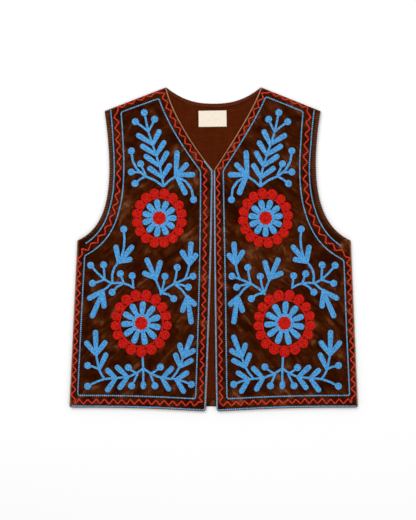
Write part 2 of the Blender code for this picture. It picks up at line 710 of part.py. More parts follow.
def daisy(rosette, side):
    """The rosette's petals, joined by a band round the heart."""
    centre = (rosette.x, rosette.y)
    heart = [radius + HEART_GAP for radius in rosette.heart]
    half = 180 / rosette.petals
    shapes = []
    for i in range(rosette.petals):
        turn = rosette.petal_turns[side] + 360 * i / rosette.petals
        base = on_ellipse(centre, heart, turn, PETAL_START)
        tip = on_ellipse(centre, rosette.hole, turn, PETAL_REACH)
        petal = leaf(base, tip, PETAL_BASE_RADIUS, PETAL_TIP_RADIUS)
        band = [
            on_ellipse(centre, heart, turn - half),
            on_ellipse(centre, heart, turn + half),
            on_ellipse(centre, heart, turn + half, DAISY_BAND),
            on_ellipse(centre, heart, turn - half, DAISY_BAND),
        ]
        shapes.append(Shape([*petal.polygons, band], petal.crowns))
    return shapes


def as_laid(point, side):
    """A motif's point, moved as the cloth of the right front lies."""
    x, y = point
    if side > 0:
        x -= RIGHT_SHIFT + RIGHT_TOP_SHIFT * smooth((y - RIGHT_TOP_FROM) / RIGHT_TOP_RUN)
        outward = smooth((x - RIGHT_SPREAD_FROM) / RIGHT_SPREAD_RUN)
        x += RIGHT_LOW_SPREAD * outward * smooth(-y / RIGHT_LOW_RUN)
    return Vector((x, y))


def laid(shapes, side):
    """The shapes with every point moved as the cloth lies."""
    return [
        Shape([[as_laid(p, side) for p in polygon] for polygon in shape.polygons],
              [as_laid(p, side) for p in shape.crowns])
        for shape in shapes
    ]


def edge_points(edge, side):
    """Points along one edge of a front, clockwise round it."""
    hem_corner = Vector((inner_x(HEM_FRONT_Y, side), HEM_FRONT_Y))
    heights = {
        "opening": (HEM_FRONT_Y, V_POINT_Y),
        "neck": (V_POINT_Y + MERGE, SHOULDER_NECK[1]),
        "armhole": (SHOULDER_TIP_Y, UNDERARM_Y + MERGE),
    }
    if edge in heights:
        low, high = heights[edge]
        steps = math.ceil(abs(high - low) / LINE_STEP)
        levels = [mix(low, high, i / steps) for i in range(steps + 1)]
        across = outer_x if edge == "armhole" else inner_x
        return [Vector((across(y, side), y)) for y in levels]
    ends = {
        "shoulder": (Vector(SHOULDER_NECK), Vector((SHOULDER_TIP_X[side], SHOULDER_TIP_Y))),
        "side": (Vector((UNDERARM_X[side], UNDERARM_Y)), Vector((HEM_HALF_WIDTH, HEM_SIDE_Y))),
        "hem": (Vector((HEM_HALF_WIDTH, HEM_SIDE_Y)), hem_corner),
    }
    start, end = ends[edge]
    steps = math.ceil((end - start).length / LINE_STEP)
    points = [start.lerp(end, i / steps) for i in range(steps + 1)]
    if edge == "hem":
        for i, point in enumerate(points):
            point.y += HEM_RISE * math.sin(math.pi * i / steps)
    return points


def moved_in(points, distances):
    """The points moved to the right of their way, with both ends drawn out."""
    last = len(points) - 1
    moved = []
    for i, point in enumerate(points):
        way = (points[min(i + 1, last)] - points[max(i - 1, 0)]).normalized()
        moved.append(point + Vector((way.y, -way.x)) * along_steps(distances, i / last))
    start = (moved[0] - moved[1]).normalized() * LINE_REACH
    end = (moved[-1] - moved[-2]).normalized() * LINE_REACH
    return [moved[0] + start, *moved, moved[-1] + end]


def crossing(line, other):
    """(place in the line, place in the other, point) where two lines of points cross."""
    for i, (a, b) in enumerate(zip(line, line[1:])):
        for j, (c, d) in enumerate(zip(other, other[1:])):
            found = intersect_line_line_2d(a, b, c, d)
            if found:
                return i, j, found
    raise ValueError("the lines don't cross")


def frame_loop(border, side):
    """A closed line at the border's distances in from the edges of a front."""
    lines = [moved_in(edge_points(edge, side), getattr(border, edge)) for edge in border._fields]
    loop = []
    for i, line in enumerate(lines):
        _, first, start = crossing(lines[i - 1], line)
        last, _, end = crossing(line, lines[(i + 1) % len(lines)])
        between = line[first + 1:last + 1]
        loop.append(start)
        loop += [p for p in between if min((p - start).length, (p - end).length) > LINE_STEP / 3]
    return loop


def ribbon(line, closed):
    """Quads of the line's width along it, mitred where it turns."""
    last = len(line) - 1
    sides = []
    for i, point in enumerate(line):
        before = line[i - 1] if closed or i else None
        after = line[(i + 1) % len(line)] if closed or i < last else None
        ways = [(point - before).normalized()] if before is not None else []
        ways += [(after - point).normalized()] if after is not None else []
        way = sum(ways, Vector((0, 0))).normalized()
        half = Vector((-way.y, way.x)) * LINE_WIDTH / 2 / way.dot(ways[0])
        sides.append((point - half, point + half))
    after = sides[1:] + (sides[:1] if closed else [])
    return [Shape([[a[0], b[0], b[1], a[1]]], []) for a, b in zip(sides, after)]


def anticlockwise(polygon, points):
    """The polygon's indices, turned round if they run clockwise."""
    pairs = zip(polygon, [*polygon[1:], polygon[0]])
    area = sum(points[a].cross(points[b]) for a, b in pairs)
    return list(polygon) if area > 0 else list(reversed(polygon))


def sides_of(face):
    """The face's edges, each as (start, end)."""
    return list(zip(face, face[1:] + face[:1]))


def outline_of(points, polygons):
    """The points round the union of overlapping polygons, and its edges, anticlockwise."""
    polygons = [anticlockwise(polygon, points) for polygon in polygons]
    flat, _, faces, _, _, covers = delaunay_2d_cdt(points, [], polygons, 0, MERGE)
    sides = {side for face, cover in zip(faces, covers) if cover for side in sides_of(face)}
    rim = sorted((a, b) for a, b in sides if (b, a) not in sides)
    order = {index: place for place, index in enumerate(sorted({a for a, _ in rim}))}
    return [flat[index] for index in order], [(order[a], order[b]) for a, b in rim]


def filled(points, rim):
    """Triangles over the inside of an outline, found outwards from its edges."""
    _, _, faces, _, _, _ = delaunay_2d_cdt(points, rim, [], 0, 0)
    owners = {side: place for place, face in enumerate(faces) for side in sides_of(face)}
    waiting = [owners[side] for side in rim]
    kept = set(waiting)
    while waiting:
        for a, b in sides_of(faces[waiting.pop()]):
            across = owners.get((b, a))
            if (a, b) not in rim and across is not None and across not in kept:
                kept.add(across)
                waiting.append(across)
    return [faces[place] for place in sorted(kept)]


def grounds(points, faces, surface):
    """A seam gap over the surface at each point, and more where a face would dip under it."""
    def height(point):
        return surface.ray_cast(Vector((*point, ABOVE_ALL)), Vector((0, 0, -1)))[0].z

    heights = [height(point) + SEAM_GAP for point in points]
    for face in faces:
        for a, b in sides_of(face):
            for share in CLEARANCE_SHARES:
                between = height(points[a].lerp(points[b], share)) + SEAM_GAP / 2
                short = between - mix(heights[a], heights[b], share)
                if short > 0:
                    heights[a] += short
                    heights[b] += short
    return heights


def pad(name, shapes, side, surface, look):
    """One raised pad: the union of overlapping shapes, laid on the velvet and crowned inside."""
    def mirrored(point):
        return Vector((side * point.x, point.y))

    outlines = [[mirrored(p) for p in polygon] for s in shapes for polygon in s.polygons]
    crowns = [mirrored(p) for shape in shapes for p in shape.crowns]
    points, polygons = [], []
    for outline in outlines:
        polygons.append(list(range(len(points), len(points) + len(outline))))
        points += outline
    rim, rim_edges = outline_of(points, polygons)
    top_faces = filled(rim + crowns, rim_edges)
    under_faces = filled(rim, rim_edges)

    mesh = bmesh.new()
    tops, unders = [], []
    levels = grounds(rim + crowns, under_faces, surface)
    for index, ((x, y), ground) in enumerate(zip(rim + crowns, levels)):
        if index < len(rim):
            unders.append(mesh.verts.new((x, y, ground)))
            tops.append(mesh.verts.new((x, y, ground + PAD_EDGE)))
        else:
            tops.append(mesh.verts.new((x, y, ground + PAD_CROWN)))
    for face in top_faces:
        mesh.faces.new([tops[i] for i in face])
    for face in under_faces:
        mesh.faces.new([unders[i] for i in reversed(face)])
    for a, b in rim_edges:
        mesh.faces.new([unders[a], unders[b], tops[b], tops[a]])
    bmesh.ops.recalc_face_normals(mesh, faces=mesh.faces)
    return finished(name, mesh, look)


def surface_of(made):
    """A tree for finding heights on an object that sits at the origin."""
    corners = [vertex.co for vertex in made.data.vertices]
    return BVHTree.FromPolygons(corners, [list(face.vertices) for face in made.data.polygons])


def embroider(side, word, panel):
    """Every raised pad of one front."""
    surface = surface_of(panel)
    pad(f"{word}_frame", ribbon(frame_loop(FRAMES[side], side), True), side, surface, BLUE)
    armhole = moved_in(edge_points("armhole", side), ARMHOLE_LINES[side])[1:-1]
    armhole[0] += (armhole[1] - armhole[0]).normalized() * ARMHOLE_LINE_ENDS[0]
    armhole[-1] += (armhole[-2] - armhole[-1]).normalized() * ARMHOLE_LINE_ENDS[1]
    pad(f"{word}_armhole_line", ribbon(armhole, False), side, surface, BLUE)
    for name, parts in SPRAYS.items():
        pad(f"{word}_{name}", laid(spray(parts), side), side, surface, BLUE)
    for rosette in ROSETTES:
        name = f"{word}_{rosette.name}"
        pad(f"{name}_ring", laid(ring(rosette, side), side), side, surface, RED)
        pad(f"{name}_daisy", laid(daisy(rosette, side), side), side, surface, BLUE)
        turn = rosette.petal_turns[side] + 180 / rosette.petals
        heart = disc((rosette.x, rosette.y), rosette.heart, rosette.petals, turn)
        pad(f"{name}_heart", laid([heart], side), side, surface, RED)


def inside_of_back():
    """What shows through the neck and the opening: lining, facings and the bare label."""
    lining = back_grid(LINING_INSET, NECK_FACING + SEAM_GAP, HEM_FACING + SEAM_GAP, LINING_Z,
                       LINING_WALL, False)
    wall("back_lining", lining, LINING)
    neck_facing()
    strip = (2 * (HEM_HALF_WIDTH - LINING_INSET), HEM_FACING - HEM_FACING_INSET, FACING_WALL)
    strip_y = BACK_HEM_Y + HEM_FACING - strip[1] / 2
    strip_z = LINING_Z + FACING_WALL / 2
    flat_strip("hem_facing", strip, (0, strip_y, strip_z), 0, VELVET)
    label_z = LINING_Z + LINING_WALL + SEAM_GAP + LABEL_SIZE[2] / 2
    flat_strip("label", LABEL_SIZE, (*LABEL_PLACE, label_z), LABEL_TILT, LABEL)


for old in list(bpy.data.objects):
    bpy.data.objects.remove(old)
vest = bpy.data.collections.new("folk_vest")
bpy.context.scene.collection.children.link(vest)

wall("back_panel", back_grid(0, 0, 0, 0, BACK_WALL, True), VELVET)
inside_of_back()
for front_side, front_word in ((-1, "left"), (1, "right")):
    front = front_panel(f"{front_word}_front", front_side)
    embroider(front_side, front_word, front)
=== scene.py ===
"""Looks of an embroidered folk vest: crushed velvet, lining, and chain stitch laid row by row."""

import math
from collections import namedtuple

import bpy
import numpy as np
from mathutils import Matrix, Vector, noise
from mathutils.bvhtree import BVHTree
from mathutils.geometry import intersect_line_line_2d
from mathutils.kdtree import KDTree


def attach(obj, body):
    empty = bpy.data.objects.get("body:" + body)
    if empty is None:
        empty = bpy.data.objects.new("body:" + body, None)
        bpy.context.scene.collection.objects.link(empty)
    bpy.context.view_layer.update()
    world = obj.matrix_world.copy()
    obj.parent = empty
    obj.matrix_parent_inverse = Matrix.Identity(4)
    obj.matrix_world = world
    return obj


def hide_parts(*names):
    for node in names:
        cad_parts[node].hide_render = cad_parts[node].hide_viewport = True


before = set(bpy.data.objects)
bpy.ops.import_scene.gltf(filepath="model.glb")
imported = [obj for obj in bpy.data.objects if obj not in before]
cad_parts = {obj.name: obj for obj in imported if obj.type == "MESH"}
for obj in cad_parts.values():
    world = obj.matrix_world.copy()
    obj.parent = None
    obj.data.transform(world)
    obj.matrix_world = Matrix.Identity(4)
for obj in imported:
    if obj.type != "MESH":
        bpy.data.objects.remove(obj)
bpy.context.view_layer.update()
rng = np.random.default_rng(7)

# Sizes of the solids, in metres
TOP_Y = 0.2690
HEM_FRONT_Y = -0.2672
HEM_SIDE_Y = -0.2606
HEM_RISE = 0.0022
HEM_RISE_DEPTH = 0.05
BACK_HEM_Y = -0.2588
HEM_HALF_WIDTH = 0.2386
UNDERARM_Y = 0.0155
UNDERARM_X = {-1: 0.2254, 1: 0.2268}
SHOULDER_TIP_Y = 0.2295
SHOULDER_TIP_X = {-1: 0.1802, 1: 0.1768}
SHOULDER_NECK = (0.0782, TOP_Y)
V_POINT_Y = 0.1315
BACK_NECK_Y = 0.2420
BACK_NECK_POWER = 2.4
ARMHOLE_HANDLES = {
    -1: ((0.1658, 0.1262), (0.1662, 0.0405)),
    1: ((0.1604, 0.1269), (0.1661, 0.0418)),
}
NECK_HANDLES = {
    -1: ((0.0410, 0.1800), (0.0715, 0.2345)),
    1: ((0.0320, 0.1800), (0.0665, 0.2340)),
}
BACK_ARMHOLE_INSET = 0.0020
OPENINGS = {-1: (0.0012, 0.0126), 1: (0.0004, 0.0045)}
OPENING_POWER = 1.5
LINING_Z = 0.0023
LINING_TOP = 0.0033
FRONT_Z = 0.0036
FRONT_WALL = 0.0022
PUFF = 0.0015
PUFF_RUN = 0.16
SEAM_Z = 0.0028

Crease = namedtuple("Crease", "x0 y0 x1 y1 height width")
CREASES = {
    -1: (
        Crease(0.225, -0.075, 0.150, -0.060, 0.0006, 0.012),
        Crease(0.195, -0.010, 0.160, -0.125, -0.0006, 0.016),
        Crease(0.120, 0.215, 0.110, 0.120, 0.0007, 0.016),
        Crease(0.040, -0.130, 0.070, -0.235, 0.0006, 0.014),
        Crease(0.180, 0.050, 0.120, 0.010, -0.0005, 0.016),
    ),
    1: (
        Crease(0.105, 0.225, 0.070, 0.165, -0.0007, 0.014),
        Crease(0.225, -0.105, 0.165, -0.120, 0.0007, 0.012),
        Crease(0.205, -0.135, 0.170, -0.080, -0.0006, 0.014),
        Crease(0.150, 0.090, 0.175, 0.200, 0.0006, 0.016),
        Crease(0.030, -0.110, 0.065, -0.160, 0.0006, 0.014),
    ),
}
WAVE_HEIGHT = 0.0005
WAVE_LENGTHS = (0.150, 0.185)

# A stem, bowed to the left of its way, that may end in a berry, and a leaf from its base to its tip
Twig = namedtuple("Twig", "x0 y0 x1 y1 bow end")
Leaf = namedtuple("Leaf", "x0 y0 x1 y1")
Spray = namedtuple("Spray", "twigs leaves")
BERRY = (0.0058, 0.0058)
BUD = (0.0044, 0.0073)
LEAF_BASE_RADIUS = 0.0029
LEAF_TIP_RADIUS = 0.0044
STEM_WIDTH = 0.0034
LINE_WIDTH = 0.0021

SPRAYS = {
    "top_spray": Spray(twigs=(
        Twig(0.0829, 0.1045, 0.0892, 0.1394, 0.0010, None),
        Twig(0.0892, 0.1394, 0.1077, 0.1949, 0.0000, None),
        Twig(0.1077, 0.1949, 0.0974, 0.2155, 0.0005, BERRY),
        Twig(0.1077, 0.1949, 0.1144, 0.2265, 0.0000, BERRY),
        Twig(0.1077, 0.1949, 0.1291, 0.2115, 0.0005, BERRY),
        Twig(0.0829, 0.1045, 0.1126, 0.1213, 0.0020, None),
        Twig(0.1126, 0.1213, 0.1357, 0.1632, -0.0070, BERRY),
        Twig(0.1126, 0.1213, 0.1298, 0.1094, 0.0008, BERRY),
        Twig(0.1189, 0.1279, 0.1357, 0.1284, 0.0000, BERRY),
        Twig(0.1112, 0.1213, 0.1204, 0.1419, 0.0000, BERRY),
        Twig(0.0829, 0.1045, 0.0628, 0.1209, -0.0015, None),
        Twig(0.0611, 0.1209, 0.0331, 0.0828, -0.0085, BERRY),
    ), leaves=(
        Leaf(0.1002, 0.1741, 0.1275, 0.1909),
        Leaf(0.1006, 0.1731, 0.0882, 0.1987),
        Leaf(0.0951, 0.1568, 0.1209, 0.1731),
        Leaf(0.0951, 0.1559, 0.0799, 0.1803),
        Leaf(0.0895, 0.1384, 0.1149, 0.1566),
        Leaf(0.0895, 0.1378, 0.0753, 0.1632),
        Leaf(0.0846, 0.1193, 0.1087, 0.1368),
        Leaf(0.0849, 0.1186, 0.0707, 0.1427),
        Leaf(0.0628, 0.1178, 0.0601, 0.1645),
        Leaf(0.0623, 0.1216, 0.0418, 0.1434),
        Leaf(0.0611, 0.1236, 0.0301, 0.1242),
        Leaf(0.0628, 0.1244, 0.0450, 0.0906),
    )),
    "outer_spray": Spray(twigs=(
        Twig(0.1308, -0.0632, 0.1484, -0.0551, 0.0010, None),
        Twig(0.1484, -0.0551, 0.1689, -0.0551, 0.0008, None),
        Twig(0.1324, -0.0610, 0.1344, -0.0427, 0.0000, BERRY),
        Twig(0.1484, -0.0551, 0.1540, -0.0393, 0.0000, BERRY),
        Twig(0.1484, -0.0551, 0.1674, -0.0698, 0.0020, BERRY),
        Twig(0.1689, -0.0551, 0.1798, -0.0488, 0.0000, None),
        Twig(0.1798, -0.0488, 0.1814, -0.0249, 0.0000, BERRY),
        Twig(0.1798, -0.0488, 0.2029, -0.0254, -0.0010, BERRY),
        Twig(0.1798, -0.0488, 0.1999, -0.0551, -0.0008, BERRY),
        Twig(0.1667, -0.0549, 0.1563, -0.0191, -0.0050, None),
        Twig(0.1535, -0.0167, 0.1483, 0.0342, 0.0035, BERRY),
        Twig(0.1689, -0.0551, 0.1839, -0.0681, -0.0008, None),
    ), leaves=(
        Leaf(0.1563, -0.0216, 0.1618, 0.0087),
        Leaf(0.1555, -0.0210, 0.1324, 0.0078),
        Leaf(0.1572, -0.0200, 0.1337, -0.0148),
        Leaf(0.1816, -0.0668, 0.2086, -0.0817),
        Leaf(0.1822, -0.0678, 0.2017, -0.1127),
        Leaf(0.1829, -0.0668, 0.1804, -0.0969),
    )),
    "inner_spray": Spray(twigs=(
        Twig(0.0889, -0.0738, 0.0651, -0.0558, -0.0013, None),
        Twig(0.0864, -0.0711, 0.0958, -0.0480, 0.0000, None),
        Twig(0.0864, -0.0711, 0.0803, -0.0436, 0.0008, BERRY),
        Twig(0.0864, -0.0711, 0.0659, -0.0805, -0.0025, BERRY),
        Twig(0.0651, -0.0558, 0.0473, -0.0483, 0.0000, None),
        Twig(0.0651, -0.0558, 0.0601, -0.0290, 0.0008, BERRY),
        Twig(0.0473, -0.0483, 0.0341, -0.0434, 0.0000, BERRY),
        Twig(0.0473, -0.0483, 0.0397, -0.0213, 0.0012, None),
        Twig(0.0651, -0.0558, 0.0418, -0.0615, -0.0010, BERRY),
        Twig(0.0651, -0.0558, 0.0440, -0.0777, -0.0020, None),
    ), leaves=(
        Leaf(0.0953, -0.0493, 0.1116, -0.0127),
        Leaf(0.0958, -0.0493, 0.0872, -0.0167),
        Leaf(0.0945, -0.0474, 0.1179, -0.0370),
        Leaf(0.0400, -0.0239, 0.0370, 0.0140),
        Leaf(0.0394, -0.0243, 0.0539, -0.0002),
        Leaf(0.0400, -0.0243, 0.0271, -0.0054),
        Leaf(0.0435, -0.0767, 0.0526, -0.1038),
        Leaf(0.0431, -0.0777, 0.0365, -0.1229),
        Leaf(0.0446, -0.0764, 0.0288, -0.0926),
    )),
    "garland": Spray(twigs=(
        Twig(0.1172, -0.1770, 0.1161, -0.1955, 0.0000, None),
        Twig(0.1161, -0.1955, 0.1161, -0.2231, 0.0000, BUD),
        Twig(0.1161, -0.1955, 0.1413, -0.2097, -0.0015, None),
        Twig(0.1413, -0.2097, 0.1798, -0.2130, 0.0000, None),
        Twig(0.1798, -0.2130, 0.2077, -0.2249, 0.0010, BERRY),
        Twig(0.1252, -0.2046, 0.1408, -0.1940, -0.0008, BERRY),
        Twig(0.1252, -0.2046, 0.1352, -0.2242, 0.0000, BERRY),
        Twig(0.1798, -0.2130, 0.1895, -0.1960, -0.0008, None),
        Twig(0.1895, -0.1960, 0.2077, -0.1907, 0.0006, BERRY),
        Twig(0.1895, -0.1960, 0.1941, -0.1709, 0.0000, None),
        Twig(0.1161, -0.1955, 0.0849, -0.2112, 0.0020, None),
        Twig(0.0849, -0.2112, 0.0625, -0.2133, 0.0000, None),
        Twig(0.0625, -0.2133, 0.0369, -0.2219, -0.0008, BERRY),
        Twig(0.1045, -0.2048, 0.0877, -0.1932, 0.0008, BERRY),
        Twig(0.1045, -0.2048, 0.0968, -0.2242, 0.0000, BERRY),
        Twig(0.0695, -0.2124, 0.0555, -0.1922, 0.0010, None),
        Twig(0.0555, -0.1922, 0.0496, -0.1747, 0.0000, None),
    ), leaves=(
        Leaf(0.1407, -0.2107, 0.1621, -0.1909),
        Leaf(0.1410, -0.2091, 0.1572, -0.2305),
        Leaf(0.1601, -0.2127, 0.1780, -0.1959),
        Leaf(0.1605, -0.2110, 0.1776, -0.2345),
        Leaf(0.1895, -0.1982, 0.1760, -0.1695),
        Leaf(0.1938, -0.1724, 0.1949, -0.1318),
        Leaf(0.1941, -0.1728, 0.2123, -0.1503),
        Leaf(0.1938, -0.1728, 0.1766, -0.1497),
        Leaf(0.0862, -0.2130, 0.0664, -0.1926),
        Leaf(0.0859, -0.2107, 0.0720, -0.2331),
        Leaf(0.0631, -0.2150, 0.0407, -0.2005),
        Leaf(0.0628, -0.2120, 0.0473, -0.2368),
        Leaf(0.0552, -0.1942, 0.0641, -0.1695),
        Leaf(0.0562, -0.1932, 0.0331, -0.1803),
        Leaf(0.0499, -0.1774, 0.0572, -0.1530),
        Leaf(0.0499, -0.1777, 0.0354, -0.1398),
        Leaf(0.0502, -0.1770, 0.0299, -0.1640),
    )),
}

# Rosettes: radii are (across, up), and turns are for the left and the right front
Rosette = namedtuple("Rosette", "name x y outer hole heart lobes petals lobe_turns petal_turns")
ROSETTES = (
    Rosette("upper_rosette", 0.0895, 0.0525, (0.0457, 0.0498), (0.0299, 0.0326), (0.0104, 0.0110),
            16, 11, {-1: 101.4, 1: 73.8}, {-1: 82, 1: 73.6}),
    Rosette("lower_rosette", 0.1195, -0.1209, (0.0506, 0.0562), (0.0345, 0.0380), (0.0103, 0.0109),
            17, 11, {-1: 79.1, 1: 79.9}, {-1: 95.2, 1: 86.4}),
)
LOBE_SHARE = 0.96
PETAL_REACH = 0.965
PETAL_BASE_RADIUS = 0.0027
PETAL_TIP_RADIUS = 0.0050
PETAL_START = 1.05
DAISY_BAND = 1.42
HEART_REACH = 1.08

# The right front's motifs lie nearer the middle, most of all at the top, and spread outwards below
RIGHT_SHIFT = 0.0038
RIGHT_TOP_SHIFT = 0.0030
RIGHT_TOP_FROM = 0.085
RIGHT_TOP_RUN = 0.030
RIGHT_LOW_SPREAD = 0.0020
RIGHT_SPREAD_FROM = 0.030
RIGHT_SPREAD_RUN = 0.170
RIGHT_LOW_RUN = 0.040

# Border lines: distances in from each edge of a front, at even steps along it, in order round it
Border = namedtuple("Border", "opening neck shoulder armhole side hem")
FRAMES = {
    -1: Border((0.0180, 0.0189, 0.0204), (0.0165, 0.0165), (0.0136, 0.0112),
               (0.0269, 0.0246, 0.0241, 0.0248, 0.0280), (0.0137, 0.0131, 0.0131), (0.0203, 0.0203)),
    1: Border((0.0178, 0.0178, 0.0155), (0.0132, 0.0132), (0.0118, 0.0118),
              (0.0286, 0.0263, 0.0271, 0.0293, 0.0342), (0.0130, 0.0137, 0.0131), (0.0203, 0.0203)),
}
ZIGZAGS = {
    -1: Border((0.0092, 0.0105, 0.0129), (0.0080, 0.0080), (0.0036, 0.0030),
               (0.0186, 0.0165, 0.0162, 0.0166, 0.0193), (0.0056, 0.0056), (0.0100, 0.0108, 0.0120)),
    1: Border((0.0080, 0.0088, 0.0065), (0.0072, 0.0072), (0.0034, 0.0034),
              (0.0189, 0.0172, 0.0185, 0.0202, 0.0243), (0.0052, 0.0062), (0.0109, 0.0113, 0.0125)),
}
EDGE_INSET = (0.0020, 0.0020)
HEM_INSET = (0.0026, 0.0026)
EDGE_LINES = {
    -1: Border((0.0022, 0.0022), (0.0022, 0.0022), EDGE_INSET, EDGE_INSET, EDGE_INSET, HEM_INSET),
    1: Border((0.0010, 0.0010), (0.0010, 0.0010), EDGE_INSET, EDGE_INSET, EDGE_INSET, HEM_INSET),
}
ARMHOLE_LINES = {-1: (0.0103, 0.0084, 0.0083, 0.0086, 0.0109), 1: (0.0109, 0.0096, 0.0114, 0.0123, 0.0155)}
ARMHOLE_LINE_END = 0.011
EDGE_LINE_TOPS = {-1: 0.1480, 1: 0.1340}
LINE_REACH = 0.04
SWING = Border(0.0032, 0.0034, 0.0024, 0.0038, 0.0037, 0.0040)
STRIDE = Border(0.0076, 0.0080, 0.0080, 0.0093, 0.0080, 0.0070)

# Cloth: rounded corners, the whipped edge's ribs, and how far in from the rim a painted highlight reaches,
# where the rolled edge's pile catches light
CORNER_CUT = 0.0014
CORNER_RUN = 0.007
RIB_PITCH = 0.0039
RIB_REACH = 0.0055
HIGHLIGHT_REACH = 0.0034
NECK_HIGHLIGHT_REACH = 0.0019

# Chain stitch: its widths, its pitches and height as shares of a width, and the steps of its lines
CHAIN_WIDTH = 0.0019
CHAIN_PITCH = 1.30
LINE_PITCH = 1.57
LINE_LINK_SHARE = 0.86
CHAIN_HEIGHT = 0.50
ZIGZAG_WIDTH = 0.0025
ZIGZAG_PITCH = 1.05
LINE_STEP = 0.0015
EDGE_STEP = 0.0012
ZIGZAG_STEP = 0.0009
THREAD_DEPTH = 0.00015
TABLE_STEPS = 600

# Relief of the velvet: drawn down by the stitches, puffed between them, puckered, and pulled at the sides
Pucker = namedtuple("Pucker", "height size seed")
PUCKERS = (Pucker(0.00050, 0.015, 1), Pucker(0.00028, 0.0065, 2))
NOISE_OCTAVES = 2
FREE_FROM = 0.001
FREE_RUN = 0.007
FREE_RISE = 0.00065
STITCHED_DROP = 0.0002
PULL_FROM = 0.006
PULL_REACH = 0.045
PULL_STRETCH = 0.28
PULL_SIZE = 0.0075
PULL_HEIGHTS = {-1: 0.000336, 1: 0.000525}
RIB_HEIGHT = 0.00020
OPEN_RUN = 0.0017
SEAM_RUN = 0.0034
OPEN_Z = FRONT_Z + 0.0011

# How a front's edge is folded over, as (inset, height) rings from its rim
OPEN_FOLD = ((0.0004, FRONT_Z + 0.0004), (0.0012, FRONT_Z), (0.0090, FRONT_Z))
SEAM_FOLD = ((0.0006, SEAM_Z - 0.0001), (0.0014, SEAM_Z + 0.0001), (0.0030, FRONT_Z))

# How strong the painted highlight on the rolled pile is beside the inner edge, the hem, the outer edge and
# the shoulder
HIGHLIGHT_SHARES = np.array((1.0, 0.5, 1.0, 0.25))

# Where a grid's row to the underarm starts, and where its row from the V's point ends
UNDERARM_ROW_Y = 0.0180
V_POINT_ROW_Y = 0.1230

# Grids of the sheets, as rows and columns
FRONT_GRID = (400, 160)
BACK_GRID = (150, 134)
LINING_GRID = (170, 150)
BAND_GRID = (9, 120)
HEM_GRID = (8, 220)
LABEL_GRID = (36, 60)

# The back and the lining: their rims, folds and wrinkles
BACK_RIM = 0.0012
BACK_SEAM_ZONE = 0.004
BACK_SEAM_FOLD = ((0.0001, SEAM_Z - 0.0003), (0.0012, SEAM_Z - 0.0006), (0.0120, 0.0020))
BACK_OPEN_FOLD = ((0.0003, 0.0017), (0.0012, 0.0020), (0.0120, 0.0020))
LINING_INSETS = (0.0080, 0.0074, 0.0112)
LINING_WALL = 0.0009
WRINKLE = Pucker(0.00030, 0.030, 5)
WRINKLE_STRETCH = 0.45

# The narrow bands and the label
BAND_DOWN = (0.0066, 0.0009)
BAND_Z = 0.0024
BAND_RISE = 0.0005
BAND_UNDER = (0.0004, 0.0023)
HEM_BAND_HALF = 0.2290
HEM_BAND_Y = (BACK_HEM_Y + 0.0015, BACK_HEM_Y + 0.0110)
LABEL_HALF = (0.02325, 0.0135)
LABEL_PLACE = (-0.0017, 0.2168)
LABEL_TURN = 0.8


def mix(a, b, share):
    return a + (b - a) * share


def smooth(share):
    share = np.clip(share, 0.0, 1.0)
    return share * share * (3 - 2 * share)


def bezier(points, shares):
    """Points that far along a cubic Bezier curve."""
    t = np.asarray(shares)[:, None]
    a, b, c, d = (np.array(p) for p in points)
    return a * (1 - t) ** 3 + 3 * b * t * (1 - t) ** 2 + 3 * c * t * t * (1 - t) + d * t**3


ARMHOLES = {
    side: bezier(((UNDERARM_X[side], UNDERARM_Y), *reversed(ARMHOLE_HANDLES[side]),
                  (SHOULDER_TIP_X[side], SHOULDER_TIP_Y)), np.linspace(0, 1, TABLE_STEPS))
    for side in (-1, 1)
}
NECKS = {
    side: bezier(((OPENINGS[side][0], V_POINT_Y), *NECK_HANDLES[side], SHOULDER_NECK),
                 np.linspace(0, 1, TABLE_STEPS))
    for side in (-1, 1)
}


def inner_x(y, side):
    """A front's edge at the opening, and along the neck above the V's point."""
    at_point, at_hem = OPENINGS[side]
    y = np.asarray(y, float)
    down = np.clip((V_POINT_Y - y) / (V_POINT_Y - HEM_FRONT_Y), 0, None)
    below = mix(at_point, at_hem, down**OPENING_POWER)
    above = np.interp(y, NECKS[side][:, 1], NECKS[side][:, 0])
    return np.where(y > V_POINT_Y, above, below)


def outer_x(y, side):
    """The side seam, and the armhole above it."""
    y = np.asarray(y, float)
    down = (UNDERARM_Y - y) / (UNDERARM_Y - HEM_SIDE_Y)
    above = np.interp(y, ARMHOLES[side][:, 1], ARMHOLES[side][:, 0])
    return np.where(y > UNDERARM_Y, above, mix(UNDERARM_X[side], HEM_HALF_WIDTH, down))


def back_top_y(x):
    """The back's upper edge: its neckline, then its shoulder."""
    tip_x = np.where(x < 0, SHOULDER_TIP_X[-1], SHOULDER_TIP_X[1])
    x = np.abs(x)
    rise = np.clip(x / SHOULDER_NECK[0], 0, 1) ** BACK_NECK_POWER
    run = (x - SHOULDER_NECK[0]) / (tip_x - SHOULDER_NECK[0])
    neck = mix(BACK_NECK_Y, SHOULDER_NECK[1], rise)
    return np.where(x <= SHOULDER_NECK[0], neck, mix(SHOULDER_NECK[1], SHOULDER_TIP_Y, run))


def as_laid(points, side):
    """Motif points, moved as the cloth of that front lies."""
    points = np.array(points, float)
    if side > 0:
        y = points[:, 1]
        points[:, 0] -= RIGHT_SHIFT + RIGHT_TOP_SHIFT * smooth((y - RIGHT_TOP_FROM) / RIGHT_TOP_RUN)
        outward = smooth((points[:, 0] - RIGHT_SPREAD_FROM) / RIGHT_SPREAD_RUN)
        points[:, 0] += RIGHT_LOW_SPREAD * outward * smooth(-y / RIGHT_LOW_RUN)
    return points * (side, 1)


def mirrored(points, side):
    return np.asarray(points) * (side, 1)


def direction(degrees):
    turn = np.radians(degrees)
    return np.stack([np.cos(turn), np.sin(turn)], -1)


# Rows of stitches, as lines of points with a width at each


def on_ellipse(centre, radii, degrees, share=1.0):
    """The points of an ellipse in those directions, or at that share of the way to them."""
    way = direction(degrees)
    reach = share / np.hypot(way[..., 0] / radii[0], way[..., 1] / radii[1])
    return np.array(centre) + way * reach[..., None]


